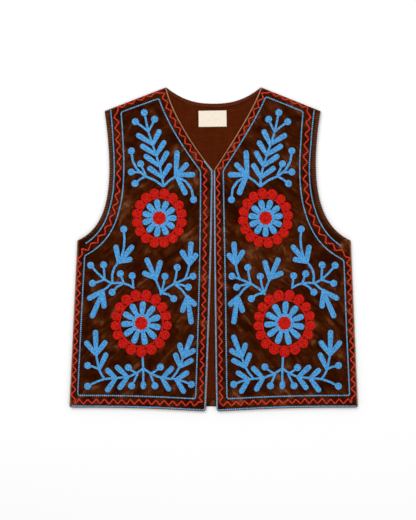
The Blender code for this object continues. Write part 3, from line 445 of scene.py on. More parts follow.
def leaf_rows(base, tip, base_radius, tip_radius, rows):
    """Nested rows up one side of a leaf, round its tip and down the other, and its outline."""
    base, tip = np.array(base), np.array(tip)
    length = np.linalg.norm(tip - base)
    way = (tip - base) / length
    left = np.array([-way[1], way[0]])
    heading = math.degrees(math.atan2(way[1], way[0]))
    trunk = length - tip_radius
    ups = np.linspace(0, 1, 12)
    halves = mix(base_radius, tip_radius, smooth(ups * 1.3))
    tips = np.linspace(90, -90, 9)

    def loop(share):
        up = [base + way * trunk * u + left * h * share for u, h in zip(ups, halves)]
        over = [base + way * trunk + tip_radius * share * direction(heading + a) for a in tips]
        down = [base + way * trunk * u - left * h * share for u, h in zip(ups, halves)]
        widths = np.concatenate([halves, np.full(len(tips), tip_radius), halves[::-1]])
        return np.array(up + over[1:-1] + down[::-1]), np.delete(widths, [12, 20])

    found = []
    for i in range(rows):
        points, widths = loop(1 - (i + 0.5) / rows)
        found.append((points, widths / rows))
    return found, loop(1)[0]


def disc_rows(centre, radii, rows):
    """Rings from the rim of a round or oval disc to its middle, and its outline."""
    radii = np.array(radii)
    width = radii.mean() / rows
    found = []
    for i in range(rows):
        share = 1 - (i + 0.5) / rows
        degrees = rng.uniform(0, 360) + np.linspace(0, 360, 25)
        found.append((on_ellipse(centre, radii, degrees, share), np.full(25, width)))
    return found, on_ellipse(centre, radii, np.linspace(0, 345, 24))


def stem_line(twig):
    start, end = np.array([twig.x0, twig.y0]), np.array([twig.x1, twig.y1])
    run = end - start
    left = np.array([-run[1], run[0]]) / np.linalg.norm(run)
    shares = np.linspace(0, 1, 12)[:, None]
    return start + run * shares + left * twig.bow * np.sin(np.pi * shares)


def beside(line, distance):
    """The line moved to its left by that distance, mitred."""
    way = np.vstack([line[1:], line[-1:]]) - np.vstack([line[:1], line[:-1]])
    way /= np.linalg.norm(way, axis=1)[:, None]
    return line + np.stack([-way[:, 1], way[:, 0]], 1) * distance


def double_rows(line, width):
    """Two rows of chain side by side, worked there and back."""
    half = np.full(len(line), width / 2)
    return [(beside(line, -width / 4), half), (beside(line, width / 4)[::-1], half)]


def inside(points, polygon):
    """Which of the points are inside a polygon."""
    found = np.zeros(len(points), bool)
    for a, b in zip(polygon, np.roll(polygon, -1, 0)):
        crosses = (a[1] > points[:, 1]) != (b[1] > points[:, 1])
        rise = b[1] - a[1] if b[1] != a[1] else 1e-12
        at = a[0] + (b[0] - a[0]) * (points[:, 1] - a[1]) / rise
        found ^= crosses & (points[:, 0] < at)
    return found


def lengths_along(line):
    """How far along a line each of its points is."""
    return np.concatenate([[0], np.cumsum(np.linalg.norm(np.diff(line, axis=0), axis=1))])


def points_along(line, at):
    """The points that far along a line."""
    along = lengths_along(line)
    return np.stack([np.interp(at, along, line[:, k]) for k in (0, 1)], 1)


def stations(line, widths, pitch):
    """(centre, way, width, length) at even steps along a row."""
    along = lengths_along(line)
    count = max(1, round(along[-1] / pitch))
    at = (np.arange(count) + 0.5) / count * along[-1]
    way = points_along(line, at + pitch * 0.3) - points_along(line, at - pitch * 0.3)
    way /= np.maximum(np.linalg.norm(way, axis=1), 1e-9)[:, None]
    widths = np.interp(at, along, widths)
    return np.column_stack([points_along(line, at), way, widths, np.full(count, along[-1] / count)])


def stitched(shapes, pitch=CHAIN_PITCH):
    """Stitches of several shapes in order, leaving out what an earlier shape has covered."""
    covered, found = [], []
    for rows, outline in shapes:
        for line, widths in rows:
            links = stations(line, widths, pitch * np.mean(widths))
            keep = np.ones(len(links), bool)
            for polygon in covered:
                keep &= ~inside(links[:, :2], polygon)
            found.append(links[keep])
        if outline is not None:
            middle = outline.mean(0)
            covered.append(middle + (outline - middle) * 0.94)
    return np.vstack(found)


def spray_stitches(parts):
    shapes = [disc_rows((twig.x1, twig.y1), twig.end, 3) for twig in parts.twigs if twig.end]
    shapes += [leaf_rows(leaf[:2], leaf[2:], LEAF_BASE_RADIUS, LEAF_TIP_RADIUS, 2) for leaf in parts.leaves]
    for twig in parts.twigs:
        line = stem_line(twig)
        outline = np.vstack([beside(line, STEM_WIDTH / 2), beside(line, -STEM_WIDTH / 2)[::-1]])
        shapes.append((double_rows(line, STEM_WIDTH), outline))
    return stitched(shapes)


def rosette_stitches(rosette, side):
    """(ring, daisy, heart) of one rosette."""
    centre = np.array([rosette.x, rosette.y])
    shapes = []
    for i in range(rosette.lobes):
        turn = rosette.lobe_turns[side] + 360 * i / rosette.lobes
        out = on_ellipse(centre, rosette.outer, turn)
        way = (out - centre) / np.linalg.norm(out - centre)
        lobe = LOBE_SHARE * np.linalg.norm(out - on_ellipse(centre, rosette.hole, turn)) / 2
        shapes.append(disc_rows(out - way * lobe, (lobe, lobe), 4))
    band = np.array(rosette.hole) + CHAIN_WIDTH / 2
    degrees = np.linspace(0, 360, 90)
    shapes.append(([(on_ellipse(centre, band, degrees), np.full(90, CHAIN_WIDTH))], None))
    ring = stitched(shapes)
    band = on_ellipse(centre, rosette.heart, degrees, (HEART_REACH + DAISY_BAND) / 2)
    width = (DAISY_BAND - HEART_REACH) * np.mean(rosette.heart) / 2
    petals = [([(on_ellipse(centre, rosette.heart, degrees, mix(HEART_REACH, DAISY_BAND, share)),
                 np.full(90, width))], None) for share in (0.25, 0.75)]
    petals[-1] = (petals[-1][0], band)
    for i in range(rosette.petals):
        turn = rosette.petal_turns[side] + 360 * i / rosette.petals
        base = on_ellipse(centre, rosette.heart, turn, PETAL_START)
        tip = on_ellipse(centre, rosette.hole, turn, PETAL_REACH)
        petals.append(leaf_rows(base, tip, PETAL_BASE_RADIUS, PETAL_TIP_RADIUS, 3))
    return ring, stitched(petals), stitched([disc_rows(centre, np.array(rosette.heart) * HEART_REACH, 5)])


# Border lines, worked out from the edges of a front


def edge_line(edge, side):
    """Points along one edge of a front, clockwise round it."""
    if edge in ("opening", "neck"):
        low, high = (HEM_FRONT_Y, V_POINT_Y) if edge == "opening" else (V_POINT_Y, TOP_Y)
        y = np.linspace(low, high, 40)
        y[0] += 1e-6
        return np.stack([inner_x(y, side), y], 1)
    if edge == "armhole":
        y = np.linspace(SHOULDER_TIP_Y, UNDERARM_Y + 1e-6, 40)
        return np.stack([outer_x(y, side), y], 1)
    ends = {
        "shoulder": (SHOULDER_NECK, (SHOULDER_TIP_X[side], SHOULDER_TIP_Y)),
        "side": ((UNDERARM_X[side], UNDERARM_Y), (HEM_HALF_WIDTH, HEM_SIDE_Y)),
        "hem": ((HEM_HALF_WIDTH, HEM_SIDE_Y), (float(inner_x(HEM_FRONT_Y, side)), HEM_FRONT_Y)),
    }
    start, end = (np.array(p) for p in ends[edge])
    line = mix(start, end, np.linspace(0, 1, 20)[:, None])
    if edge == "hem":
        line[:, 1] += HEM_RISE * np.sin(np.pi * np.linspace(0, 1, 20))
    return line


def moved_in(edge, side, distances):
    """An edge moved in, with both ends drawn out."""
    line = edge_line(edge, side)
    steps = np.linspace(0, 1, len(line))
    inset = np.interp(steps, np.linspace(0, 1, len(distances)), distances)
    moved = beside(line, -inset[:, None])
    ways = moved[[0, -1]] - moved[[1, -2]]
    start, end = moved[[0, -1]] + ways / np.linalg.norm(ways, axis=1)[:, None] * LINE_REACH
    return np.vstack([start, moved, end])


def crossing(line, other):
    """(place in the line, place in the other, point) where two lines of points cross."""
    for i, (a, b) in enumerate(zip(line, line[1:])):
        for j, (c, d) in enumerate(zip(other, other[1:])):
            found = intersect_line_line_2d(Vector(a), Vector(b), Vector(c), Vector(d))
            if found:
                return i, j, np.array(found)
    raise ValueError("the lines don't cross")


def border_runs(border, side):
    """The line at the border's distances, as one run of points for each edge."""
    lines = [moved_in(edge, side, getattr(border, edge)) for edge in border._fields]
    runs = []
    for i, line in enumerate(lines):
        _, first, start = crossing(lines[i - 1], line)
        last, _, end = crossing(line, lines[(i + 1) % len(lines)])
        runs.append(np.vstack([start, line[first + 1:last + 1], end]))
    return runs


def evenly(line, step):
    length = lengths_along(line)[-1]
    return points_along(line, np.linspace(0, length, max(2, round(length / step) + 1)))


def softened(line, passes, closed):
    """The line with its corners rounded."""
    for _ in range(passes):
        before, after = np.roll(line, 1, 0), np.roll(line, -1, 0)
        if not closed:
            before[0], after[-1] = line[0], line[-1]
        line = line / 2 + (before + after) / 4
    return line


def single_row(line, width):
    return [(line, np.full(len(line), width))]


def line_stitches(line):
    """A thin line of chain whose links lie a little apart."""
    links = stitched([(single_row(line, LINE_WIDTH), None)], LINE_PITCH)
    links[:, 5] *= LINE_LINK_SHARE
    return links


def frame_stitches(side):
    loop = np.vstack([run[:-1] for run in border_runs(FRAMES[side], side)])
    loop = softened(evenly(np.vstack([loop, loop[:1]]), LINE_STEP)[:-1], 5, True)
    return line_stitches(np.vstack([loop, loop[:1]]))


def zigzag_stitches(side):
    """One row of wide chain, from side to side of the border's middle."""
    turns, sign = [], 1
    for edge, run in zip(Border._fields, border_runs(ZIGZAGS[side], side)):
        swing, stride = getattr(SWING, edge), getattr(STRIDE, edge)
        line = evenly(run, stride)
        middles = (line[:-1] + line[1:]) / 2
        ways = np.diff(line, axis=0)
        ways /= np.linalg.norm(ways, axis=1)[:, None]
        for middle, way in zip(middles, ways):
            reach = swing * sign * rng.uniform(0.86, 1.14)
            turns.append(middle + way * rng.normal(0, 0.05) * stride + np.array([-way[1], way[0]]) * reach)
            sign = -sign
    line = np.array(turns + turns[:1])
    line = softened(evenly(line, ZIGZAG_STEP), 2, False)
    return stitched([(single_row(line, ZIGZAG_WIDTH), None)], ZIGZAG_PITCH)


def edge_stitches(side):
    """The line along the hem and up the opening."""
    opening, neck, _, _, _, hem = border_runs(EDGE_LINES[side], side)
    neck = neck[neck[:, 1] < EDGE_LINE_TOPS[side]]
    line = np.vstack([hem[:-1], opening[:-1], neck])
    line = softened(evenly(line, EDGE_STEP), 6, False)
    return line_stitches(line)


def armhole_stitches(side):
    """The line beside the armhole, from the shoulder seam down."""
    line = evenly(moved_in("armhole", side, ARMHOLE_LINES[side])[1:-1], LINE_STEP)
    last = len(line) - round(ARMHOLE_LINE_END / LINE_STEP)
    return line_stitches(line[:last])


# Cloth


def crease_heights(x, y, side):
    """Soft ridges and troughs, and a long low wave, at points of the chart."""
    height = np.zeros_like(x)
    for crease in CREASES[side]:
        start = np.array([crease.x0, crease.y0])
        run = np.array([crease.x1, crease.y1]) - start
        along = ((x - start[0]) * run[0] + (y - start[1]) * run[1]) / (run @ run)
        near = np.clip(along, 0, 1)
        away = np.hypot(x - start[0] - run[0] * near, y - start[1] - run[1] * near)
        ends = smooth(1.4 - np.abs(along - 0.5) * 2)
        height += crease.height * np.exp(-((away / crease.width) ** 2)) * ends
    long_wave = np.sin(math.tau * (x / WAVE_LENGTHS[0] + 0.2 * side))
    return height + WAVE_HEIGHT * long_wave * np.cos(math.tau * y / WAVE_LENGTHS[1])


def noise_field(x, y, size, seed):
    """Smooth noise of about -1 to 1 at points, with features of that size."""
    flat = [
        noise.fractal(Vector((a / size, b / size, seed * 7.3)), 0.6, 2.1, NOISE_OCTAVES)
        for a, b in zip(x.ravel(), y.ravel())
    ]
    return np.array(flat).reshape(x.shape)


def mesh_object(name, points, faces, look):
    data = bpy.data.meshes.new(name)
    data.from_pydata([tuple(p) for p in points], [], faces)
    data.validate()
    data.shade_smooth()
    data.materials.append(look)
    made = bpy.data.objects.new(name, data)
    bpy.context.scene.collection.objects.link(made)
    return made


def rim_of(rows, columns):
    """Indices round a grid, anticlockwise when its rows climb and its columns go right."""
    rim = [j for j in range(columns - 1)]
    rim += [i * columns + columns - 1 for i in range(rows - 1)]
    rim += [(rows - 1) * columns + j for j in range(columns - 1, 0, -1)]
    return rim + [i * columns for i in range(rows - 1, 0, -1)]


def sheet(name, x, y, z, look, folds, up=True, shades=None):
    """A grid of cloth whose edge is folded over, through rings that are (inset, height) from its rim.

    folds gives, for each rim point, a list of (inset, height), and shades named values at each point.
    """
    rows, columns = x.shape
    points = np.stack([x.ravel(), y.ravel(), z.ravel()], 1)
    faces = []
    for i in range(rows - 1):
        for j in range(columns - 1):
            a = i * columns + j
            faces.append((a, a + 1, a + columns + 1, a + columns))
    rim = rim_of(rows, columns)
    flat = points[rim][:, :2]
    way = np.roll(flat, -1, 0) - np.roll(flat, 1, 0)
    way /= np.linalg.norm(way, axis=1)[:, None]
    area = 0.5 * np.sum(flat[:, 0] * np.roll(flat[:, 1], -1) - flat[:, 1] * np.roll(flat[:, 0], -1))
    inward = np.stack([-way[:, 1], way[:, 0]], 1) * np.sign(area)
    last = list(rim)
    for ring in zip(*folds):
        ring = np.array(ring)
        start = len(points)
        placed = np.column_stack([flat + inward * ring[:, :1], ring[:, 1]])
        points = np.vstack([points, placed])
        new = list(range(start, start + len(rim)))
        for k in range(len(rim)):
            n = (k + 1) % len(rim)
            faces.append((last[n], last[k], new[k], new[n]))
        last = new
    if (area < 0) == up:
        faces = [tuple(reversed(face)) for face in faces]
    made = mesh_object(name, points, faces, look)
    for key, values in (shades or {}).items():
        rings = np.tile(values.ravel()[rim], len(folds[0]))
        shade = made.data.attributes.new(key, "FLOAT", "POINT")
        shade.data.foreach_set("value", np.concatenate([values.ravel(), rings]))
    return made


def front_grid(side, rows, columns):
    """The chart's points of a front, and their distances from its edges."""
    low = np.array([HEM_FRONT_Y, UNDERARM_ROW_Y, V_POINT_Y, SHOULDER_NECK[1]])
    out = np.array([HEM_SIDE_Y, UNDERARM_Y, V_POINT_ROW_Y, SHOULDER_TIP_Y])
    inner_y = np.linspace(HEM_FRONT_Y, SHOULDER_NECK[1], rows)
    outer_y = np.interp(inner_y, low, out)
    ends = []
    for ys, xs in ((inner_y, inner_x(inner_y, side)), (outer_y, outer_x(outer_y, side))):
        ends.append(np.stack([xs, ys], 1))
    share = np.linspace(0, 1, columns)[None, :, None]
    grid = ends[0][:, None] * (1 - share) + ends[1][:, None] * share
    from_hem = np.broadcast_to((inner_y - HEM_FRONT_Y)[:, None], grid.shape[:2])
    rise = np.sin(np.pi * share[..., 0]) * smooth(1 - from_hem / HEM_RISE_DEPTH)
    grid[..., 1] += HEM_RISE * rise
    width = np.linalg.norm(ends[1] - ends[0], axis=1)[:, None]
    along = share[..., 0] * width
    for sign, away in ((1, along), (-1, along.max(1)[:, None] - along)):
        cut = CORNER_CUT * np.clip(1 - (away + from_hem) / CORNER_RUN, 0, 1) ** 2
        grid[..., 0] += sign * cut
        grid[..., 1] += cut
    return grid[..., 0], grid[..., 1], share[..., 0] * np.ones_like(width), width, from_hem


def front_sheet(name, side, stitches, look):
    """A front of crushed velvet, drawn down where it is stitched and puffed between."""
    x, y, share, width, from_hem = front_grid(side, *FRONT_GRID)
    from_top = SHOULDER_NECK[1] - HEM_FRONT_Y - from_hem
    edge_share = np.minimum(share, 1 - share)
    rise = PUFF * smooth(edge_share / PUFF_RUN)
    rise *= smooth(np.minimum(from_hem, from_top) / (PUFF_RUN * (TOP_Y - HEM_FRONT_Y) / 2))
    rise += crease_heights(x, y, side) * smooth(edge_share / 0.1)
    z = FRONT_Z + FRONT_WALL + np.maximum(rise, 0)

    world_x = side * x
    tree = KDTree(len(stitches))
    for k, stitch in enumerate(stitches):
        tree.insert((stitch[0], stitch[1], 0), k)
    tree.balance()
    away = np.array([tree.find((a, b, 0))[2] for a, b in zip(world_x.ravel(), y.ravel())])
    away = away.reshape(x.shape)
    free = smooth((away - FREE_FROM) / FREE_RUN)
    z += FREE_RISE * free - STITCHED_DROP * (1 - free)
    puckers = sum(pucker.height * noise_field(world_x, y, pucker.size, pucker.seed) for pucker in PUCKERS)
    z += puckers * (0.45 + 0.55 * free)

    distances = np.stack([share * width, from_hem, (1 - share) * width, from_top])
    near, nearest = distances.min(0), distances.argmin(0)
    by_side = smooth(1 - distances[2] / PULL_REACH) * smooth(distances[2] / PULL_FROM)
    pulled = noise_field(world_x * PULL_STRETCH, y, PULL_SIZE, 3) * by_side
    z += PULL_HEIGHTS[side] * pulled * (0.5 + 0.5 * free)

    # The whipped edge: ribs across it, and a painted highlight along its fold, where the rolled pile
    # catches light
    armhole = (nearest == 2) & (y > UNDERARM_Y)
    rib = np.cos(math.tau * (y / RIB_PITCH + 0.25 * noise_field(world_x, y, 0.02, 4)))
    z += RIB_HEIGHT * rib * smooth(1 - near / RIB_REACH) * np.where(armhole, 1.0, 0.35) * (nearest != 1)
    rim_highlight = smooth(1 - near / HIGHLIGHT_REACH) * HIGHLIGHT_SHARES[nearest]
    neck = (nearest == 0) & (y > V_POINT_Y)
    rim_highlight = np.where(neck, 1.5 * smooth(1.3 - near / NECK_HIGHLIGHT_REACH), rim_highlight)
    band = smooth(1.5 - near / RIB_REACH) * armhole
    rim_highlight = np.where(armhole, 0.20 * band + 0.45 * smooth(1.2 - near / NECK_HIGHLIGHT_REACH), rim_highlight)
    rim_highlight = np.clip(rim_highlight * (0.80 + 0.45 * noise_field(world_x, y, 0.006, 6)), 0, 1)

    flat_top = z.copy()
    open_edge = (nearest < 2) | armhole
    low = np.where(open_edge, OPEN_Z, SEAM_Z)
    run = np.where(open_edge, OPEN_RUN, SEAM_RUN)
    round_over = np.sqrt(np.clip(1 - (1 - np.clip(near / run, 0, 1)) ** 2, 0, 1))
    z = low + (flat_top - low) * round_over

    folds = [OPEN_FOLD if opened else SEAM_FOLD for opened in open_edge.ravel()[rim_of(*x.shape)]]
    return sheet(name, world_x, y, z, look, folds, shades={"rim_highlight": rim_highlight, "band": band})


# Materials


def new_material(name, roughness, sheen=0.0, sheen_tint=(1, 1, 1), sheen_roughness=0.4):
    made = bpy.data.materials.new(name)
    made.use_nodes = True
    shader = made.node_tree.nodes["Principled BSDF"]
    shader.inputs["Roughness"].default_value = roughness
    shader.inputs["Sheen Weight"].default_value = sheen
    shader.inputs["Sheen Roughness"].default_value = sheen_roughness
    shader.inputs["Sheen Tint"].default_value = (*sheen_tint, 1)
    shader.inputs["Specular IOR Level"].default_value = 0.0 if roughness > 0.6 else 0.05
    return made


def node(made, kind, links=(), **values):
    """A node of that kind, with its settings, values and links."""
    added = made.node_tree.nodes.new(kind)
    for key, value in values.items():
        if hasattr(added, key):
            setattr(added, key, value)
        else:
            added.inputs[key.replace("_", " ")].default_value = value
    for socket, source in dict(links).items():
        made.node_tree.links.new(source, added.inputs[socket])
    return added


def noise_node(made, scale, detail=3.0, distortion=0.0, stretch=(1, 1, 1), turn=0.0):
    """Noise of that scale, drawn out along its y axis, which is turned anticlockwise."""
    place = node(made, "ShaderNodeTexCoord").outputs["Object"]
    mapped = node(made, "ShaderNodeMapping", {"Vector": place}, vector_type="TEXTURE",
                  Rotation=(0, 0, turn), Scale=[1 / share for share in stretch])
    return node(made, "ShaderNodeTexNoise", {"Vector": mapped.outputs[0]}, Scale=scale,
                Detail=detail, Distortion=distortion)


def ramp_node(made, source, stops):
    added = node(made, "ShaderNodeValToRGB", {"Fac": source})
    elements = added.color_ramp.elements
    while len(elements) < len(stops):
        elements.new(0.5)
    for element, (place, colour) in zip(elements, stops):
        element.position = place
        element.color = (*colour, 1)
    return added


def blend_node(made, a, b, share):
    return node(made, "ShaderNodeMix", {"A": a.outputs[0], "B": b.outputs[0]}, Factor=share)


def tint_node(made, colour, share, tint):
    """The colour, mixed with a plain tint by that share."""
    added = node(made, "ShaderNodeMix", {"Factor": share}, data_type="RGBA")
    made.node_tree.links.new(colour, added.inputs[6])
    added.inputs[7].default_value = (*tint, 1)
    return added.outputs[2]


def finish_colour(made, colour, bumps):
    """Links the base colour, and bumps given as (source, depth in metres)."""
    shader = made.node_tree.nodes["Principled BSDF"]
    made.node_tree.links.new(colour, shader.inputs["Base Color"])
    normal = None
    for source, depth in bumps:
        links = {"Height": source}
        if normal is not None:
            links["Normal"] = normal
        normal = node(made, "ShaderNodeBump", links, Distance=depth, Strength=1.0).outputs[0]
    if normal is not None:
        made.node_tree.links.new(normal, shader.inputs["Normal"])


def velvet_material(name, turn):
    made = new_material(name, 0.80, 0.05, (0.9, 0.5, 0.3), 0.45)
    patches = noise_node(made, 26, 3.0, 1.2)
    crush = noise_node(made, 62, 2.0, 1.3, (1.0, 0.45, 1.0), turn)
    pile = noise_node(made, 420, 3.0)
    mixed = blend_node(made, blend_node(made, patches, crush, 0.58), pile, 0.15)
    colour = ramp_node(made, mixed.outputs[0], (
        (0.40, (0.019, 0.0028, 0.0002)),
        (0.49, (0.034, 0.0060, 0.0007)),
        (0.57, (0.058, 0.0122, 0.0025)),
        (0.67, (0.150, 0.0500, 0.0200)),
    ))
    # A tan painted highlight mixed in along the rims, where the rolled edge's pile catches light
    rim_highlight = node(made, "ShaderNodeAttribute", attribute_name="rim_highlight").outputs["Fac"]
    light = tint_node(made, colour.outputs[0], rim_highlight, (0.420, 0.200, 0.110))
    band = node(made, "ShaderNodeAttribute", attribute_name="band").outputs["Fac"]
    # Painted shade: the whipped edge's dark ticks, laid in the sunk gaps between its ribs
    place = node(made, "ShaderNodeTexCoord").outputs["Object"]
    ribs = node(made, "ShaderNodeTexWave", {"Vector": place}, bands_direction="Y",
                Scale=math.tau / (20 * RIB_PITCH), Distortion=0.7, Detail=1.0)
    gaps = ramp_node(made, ribs.outputs["Fac"], ((0.35, (1, 1, 1)), (0.65, (0, 0, 0))))
    gap_shade = node(made, "ShaderNodeMath", {0: gaps.outputs[0], 1: band}, operation="MULTIPLY")
    dark = tint_node(made, light, gap_shade.outputs[0], (0.020, 0.0035, 0.0005))
    finish_colour(made, dark, ((pile.outputs[0], 0.0004), (crush.outputs[0], 0.0012)))
    return made


def lining_material(name, dark, light):
    made = new_material(name, 0.75, 0.04, (1, 0.6, 0.4))
    across = noise_node(made, 700, 2.0, 0.0, (1, 0.08, 1))
    along = noise_node(made, 700, 2.0, 0.0, (0.08, 1, 1))
    weave = blend_node(made, across, along, 0.5)
    colour = ramp_node(made, weave.outputs[0], ((0.30, dark), (0.70, light)))
    finish_colour(made, colour.outputs[0], ((weave.outputs[0], 0.00018),))
    return made


def thread_material(name, dark, light):
    made = new_material(name, 0.58, 0.04)
    shade = noise_node(made, 480, 2.0)
    strands = noise_node(made, 1500, 2.0)
    both = blend_node(made, shade, strands, 0.35)
    colour = ramp_node(made, both.outputs[0], ((0.42, dark), (0.58, light)))
    finish_colour(made, colour.outputs[0], ((strands.outputs[0], 0.00025),))
    return made


def label_material():
    made = new_material("label", 0.6, 0.1)
    weave = noise_node(made, 1400, 2.0, 0.0, (1, 0.15, 1))
    colour = ramp_node(made, weave.outputs[0], ((0.3, (0.70, 0.61, 0.49)), (0.7, (0.84, 0.76, 0.64))))
    finish_colour(made, colour.outputs[0], ((weave.outputs[0], 0.0001),))
    return made


VELVETS = {-1: velvet_material("left_velvet", -0.8), 1: velvet_material("right_velvet", 0.8)}
VELVET = velvet_material("velvet", 0.0)
LINING = lining_material("lining", (0.039, 0.0056, 0.0008), (0.086, 0.0140, 0.0030))
BAND = lining_material("lining_band", (0.060, 0.0100, 0.0024), (0.112, 0.0210, 0.0066))
LABEL = label_material()
BLUE = thread_material("blue_thread", (0.036, 0.220, 0.480), (0.150, 0.480, 0.840))
BRIGHT_BLUE = thread_material("bright_blue_thread", (0.075, 0.320, 0.600), (0.240, 0.600, 0.900))
RED = thread_material("red_thread", (0.320, 0.004, 0.002), (0.740, 0.019, 0.010))
BRIGHT_RED = thread_material("bright_red_thread", (0.480, 0.018, 0.011), (0.860, 0.075, 0.045))

# Chain stitches: one link is two plump strands that part and close again
LINK_POINTS = np.array([
    (-0.62, 0.04, 0.10),
    (-0.20, 0.47, -0.10), (-0.20, 0.26, 0.90), (-0.20, 0.02, 0.20),
    (0.28, 0.50, -0.10), (0.28, 0.31, 1.00), (0.28, 0.07, 0.30),
    (0.66, 0.20, 0.05),
])
LINK_FACES = ((0, 2, 1), (0, 3, 2), (1, 2, 5, 4), (2, 3, 6, 5), (4, 5, 7), (5, 6, 7))


def chain(name, stitches, ground, look):
    """All the links of one piece, laid on the ground, as one mesh."""
    template = np.vstack([LINK_POINTS, LINK_POINTS * (1, -1, 1)])
    shift = len(LINK_POINTS)
    faces = list(LINK_FACES) + [tuple(shift + k for k in reversed(face)) for face in LINK_FACES]
    placed = []
    for stitch in stitches:
        x, y = stitch[:2]
        height, normal = ground(x, y)
        way = Vector((stitch[2], stitch[3], 0))
        way = (way - normal * way.dot(normal)).normalized()
        placed.append((x, y, height - THREAD_DEPTH, *way, *normal.cross(way), *normal))
    placed = np.array(placed)
    width = stitches[:, 4] * rng.uniform(0.96, 1.10, len(stitches))
    length = stitches[:, 5]
    tall = stitches[:, 4] * CHAIN_HEIGHT * rng.uniform(0.9, 1.12, len(stitches))
    points = placed[:, None, 0:3] + (
        placed[:, None, 3:6] * (template[None, :, 0:1] * length[:, None, None])
        + placed[:, None, 6:9] * (template[None, :, 1:2] * width[:, None, None])
        + placed[:, None, 9:12] * (template[None, :, 2:3] * tall[:, None, None])
    )
    count = len(template)
    all_faces = [tuple(k * count + v for v in face) for k in range(len(stitches)) for face in faces]
    return mesh_object(name, points.reshape(-1, 3), all_faces, look)


def ground_of(*objects):
    """A function that gives the height and normal of the highest of these objects at a place."""
    trees = []
    for made in objects:
        corners = [vertex.co.copy() for vertex in made.data.vertices]
        trees.append(BVHTree.FromPolygons(corners, [list(f.vertices) for f in made.data.polygons]))

    def at(x, y):
        best, normal = 0.0, Vector((0, 0, 1))
        for place, tree in enumerate(trees):
            hit, found, _, _ = tree.ray_cast(Vector((x, y, 0.05)), Vector((0, 0, -1)))
            if hit and hit.z > best:
                best = hit.z
                if place == 0:
                    normal = found
        return best, normal if normal.z > 0.2 else Vector((0, 0, 1))

    return at


# Put together

for side, word in ((-1, "left"), (1, "right")):
    charts = {
        "frame_stitches": (frame_stitches(side), BRIGHT_BLUE, "blue_thread"),
        "armhole_line_stitches": (armhole_stitches(side), BRIGHT_BLUE, "blue_thread"),
        "edge_stitches": (edge_stitches(side), BRIGHT_BLUE, "blue_thread"),
        "zigzag_stitches": (zigzag_stitches(side), BRIGHT_RED, "red_thread"),
    }
    for name, parts in SPRAYS.items():
        charts[f"{name}_stitches"] = (spray_stitches(parts), BLUE, "blue_thread")
    for rosette in ROSETTES:
        ring, daisy, heart = rosette_stitches(rosette, side)
        charts[f"{rosette.name}_ring_stitches"] = (ring, RED, "red_thread")
        charts[f"{rosette.name}_daisy_stitches"] = (daisy, BLUE, "blue_thread")
        charts[f"{rosette.name}_heart_stitches"] = (heart, RED, "red_thread")
    for name, (links, _, _) in charts.items():
        move = as_laid if "spray" in name or "garland" in name or "rosette" in name else mirrored
        ends = move(links[:, :2] + links[:, 2:4] * 0.0005, side)
        links[:, :2] = move(links[:, :2], side)
        links[:, 2:4] = ends - links[:, :2]
        links[:, 2:4] /= np.linalg.norm(links[:, 2:4], axis=1)[:, None]
    everything = np.vstack([links for links, _, _ in charts.values()])
    velvet = front_sheet(f"{word}_velvet", side, everything, VELVETS[side])
    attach(velvet, "root")
    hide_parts(f"{word}_front")
    pads = [n for key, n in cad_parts.items() if key.startswith(word) and key != f"{word}_front"]
    for pad in pads:
        red = pad.name.endswith(("ring", "heart"))
        pad.data.materials.clear()
        pad.data.materials.append(RED if red else BLUE)
    lines = {f"{word}_frame", f"{word}_armhole_line"}
    raised = [pad for pad in pads if pad.name not in lines]
    ground = ground_of(velvet, *raised)
    for name, (links, look, slot) in charts.items():
        made = chain(f"{word}_{name}", links, ground, look)
        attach(made, "root")
        if made.name.removesuffix("_stitches") in lines:
            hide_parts(made.name.removesuffix("_stitches"))


def back_grid(inset, top_inset, hem_inset, rows, columns):
    """Points across the whole back, drawn in from its outline."""
    inner = np.array([BACK_HEM_Y, UNDERARM_ROW_Y, V_POINT_Y, BACK_NECK_Y])
    outer = np.array([BACK_HEM_Y, UNDERARM_Y, V_POINT_ROW_Y, SHOULDER_TIP_Y])
    inner_y = np.linspace(BACK_HEM_Y, BACK_NECK_Y, rows)
    outer_y = np.interp(inner_y, inner, outer)
    hem_y = BACK_HEM_Y + hem_inset
    above = smooth((inner_y - V_POINT_Y) / (BACK_NECK_Y - V_POINT_Y))[:, None]
    armhole = smooth((outer_y - UNDERARM_Y) / 0.01) * smooth((BACK_NECK_Y - inner_y) / 0.01)
    reach = np.linspace(-1, 1, columns)[None, :]
    left, right = (outer_x(np.minimum(outer_y, SHOULDER_TIP_Y), side)[:, None] for side in (-1, 1))
    half = np.where(reach < 0, left, right) - (inset + BACK_ARMHOLE_INSET * armhole)[:, None]
    x = half * reach
    level = mix(inner_y[:, None], outer_y[:, None], np.abs(reach))
    chord = mix(BACK_NECK_Y, SHOULDER_TIP_Y, np.abs(reach))
    top_y = back_top_y(x)
    squeeze = (top_y - top_inset - hem_y) / (top_y - BACK_HEM_Y)
    y = hem_y + (level + above * (top_y - chord) - BACK_HEM_Y) * squeeze
    ends = (1 - np.abs(reach)) * half
    to_hem = (inner_y - BACK_HEM_Y)[:, None]
    to_neck = (BACK_NECK_Y - inner_y)[:, None]
    return x, y, np.minimum(np.minimum(ends, to_hem), to_neck)


def rounded_band(x):
    """Heights across a narrow band, from its lower edge to its upper one."""
    across = np.linspace(0, 1, len(x))[:, None] * np.ones_like(x)
    return BAND_Z + BAND_RISE * np.sin(np.pi * np.clip(across, 0.02, 0.98)) ** 0.5


def folded_under(x, *rings):
    """The same fold for each rim point of a grid."""
    return [rings] * len(rim_of(*x.shape))


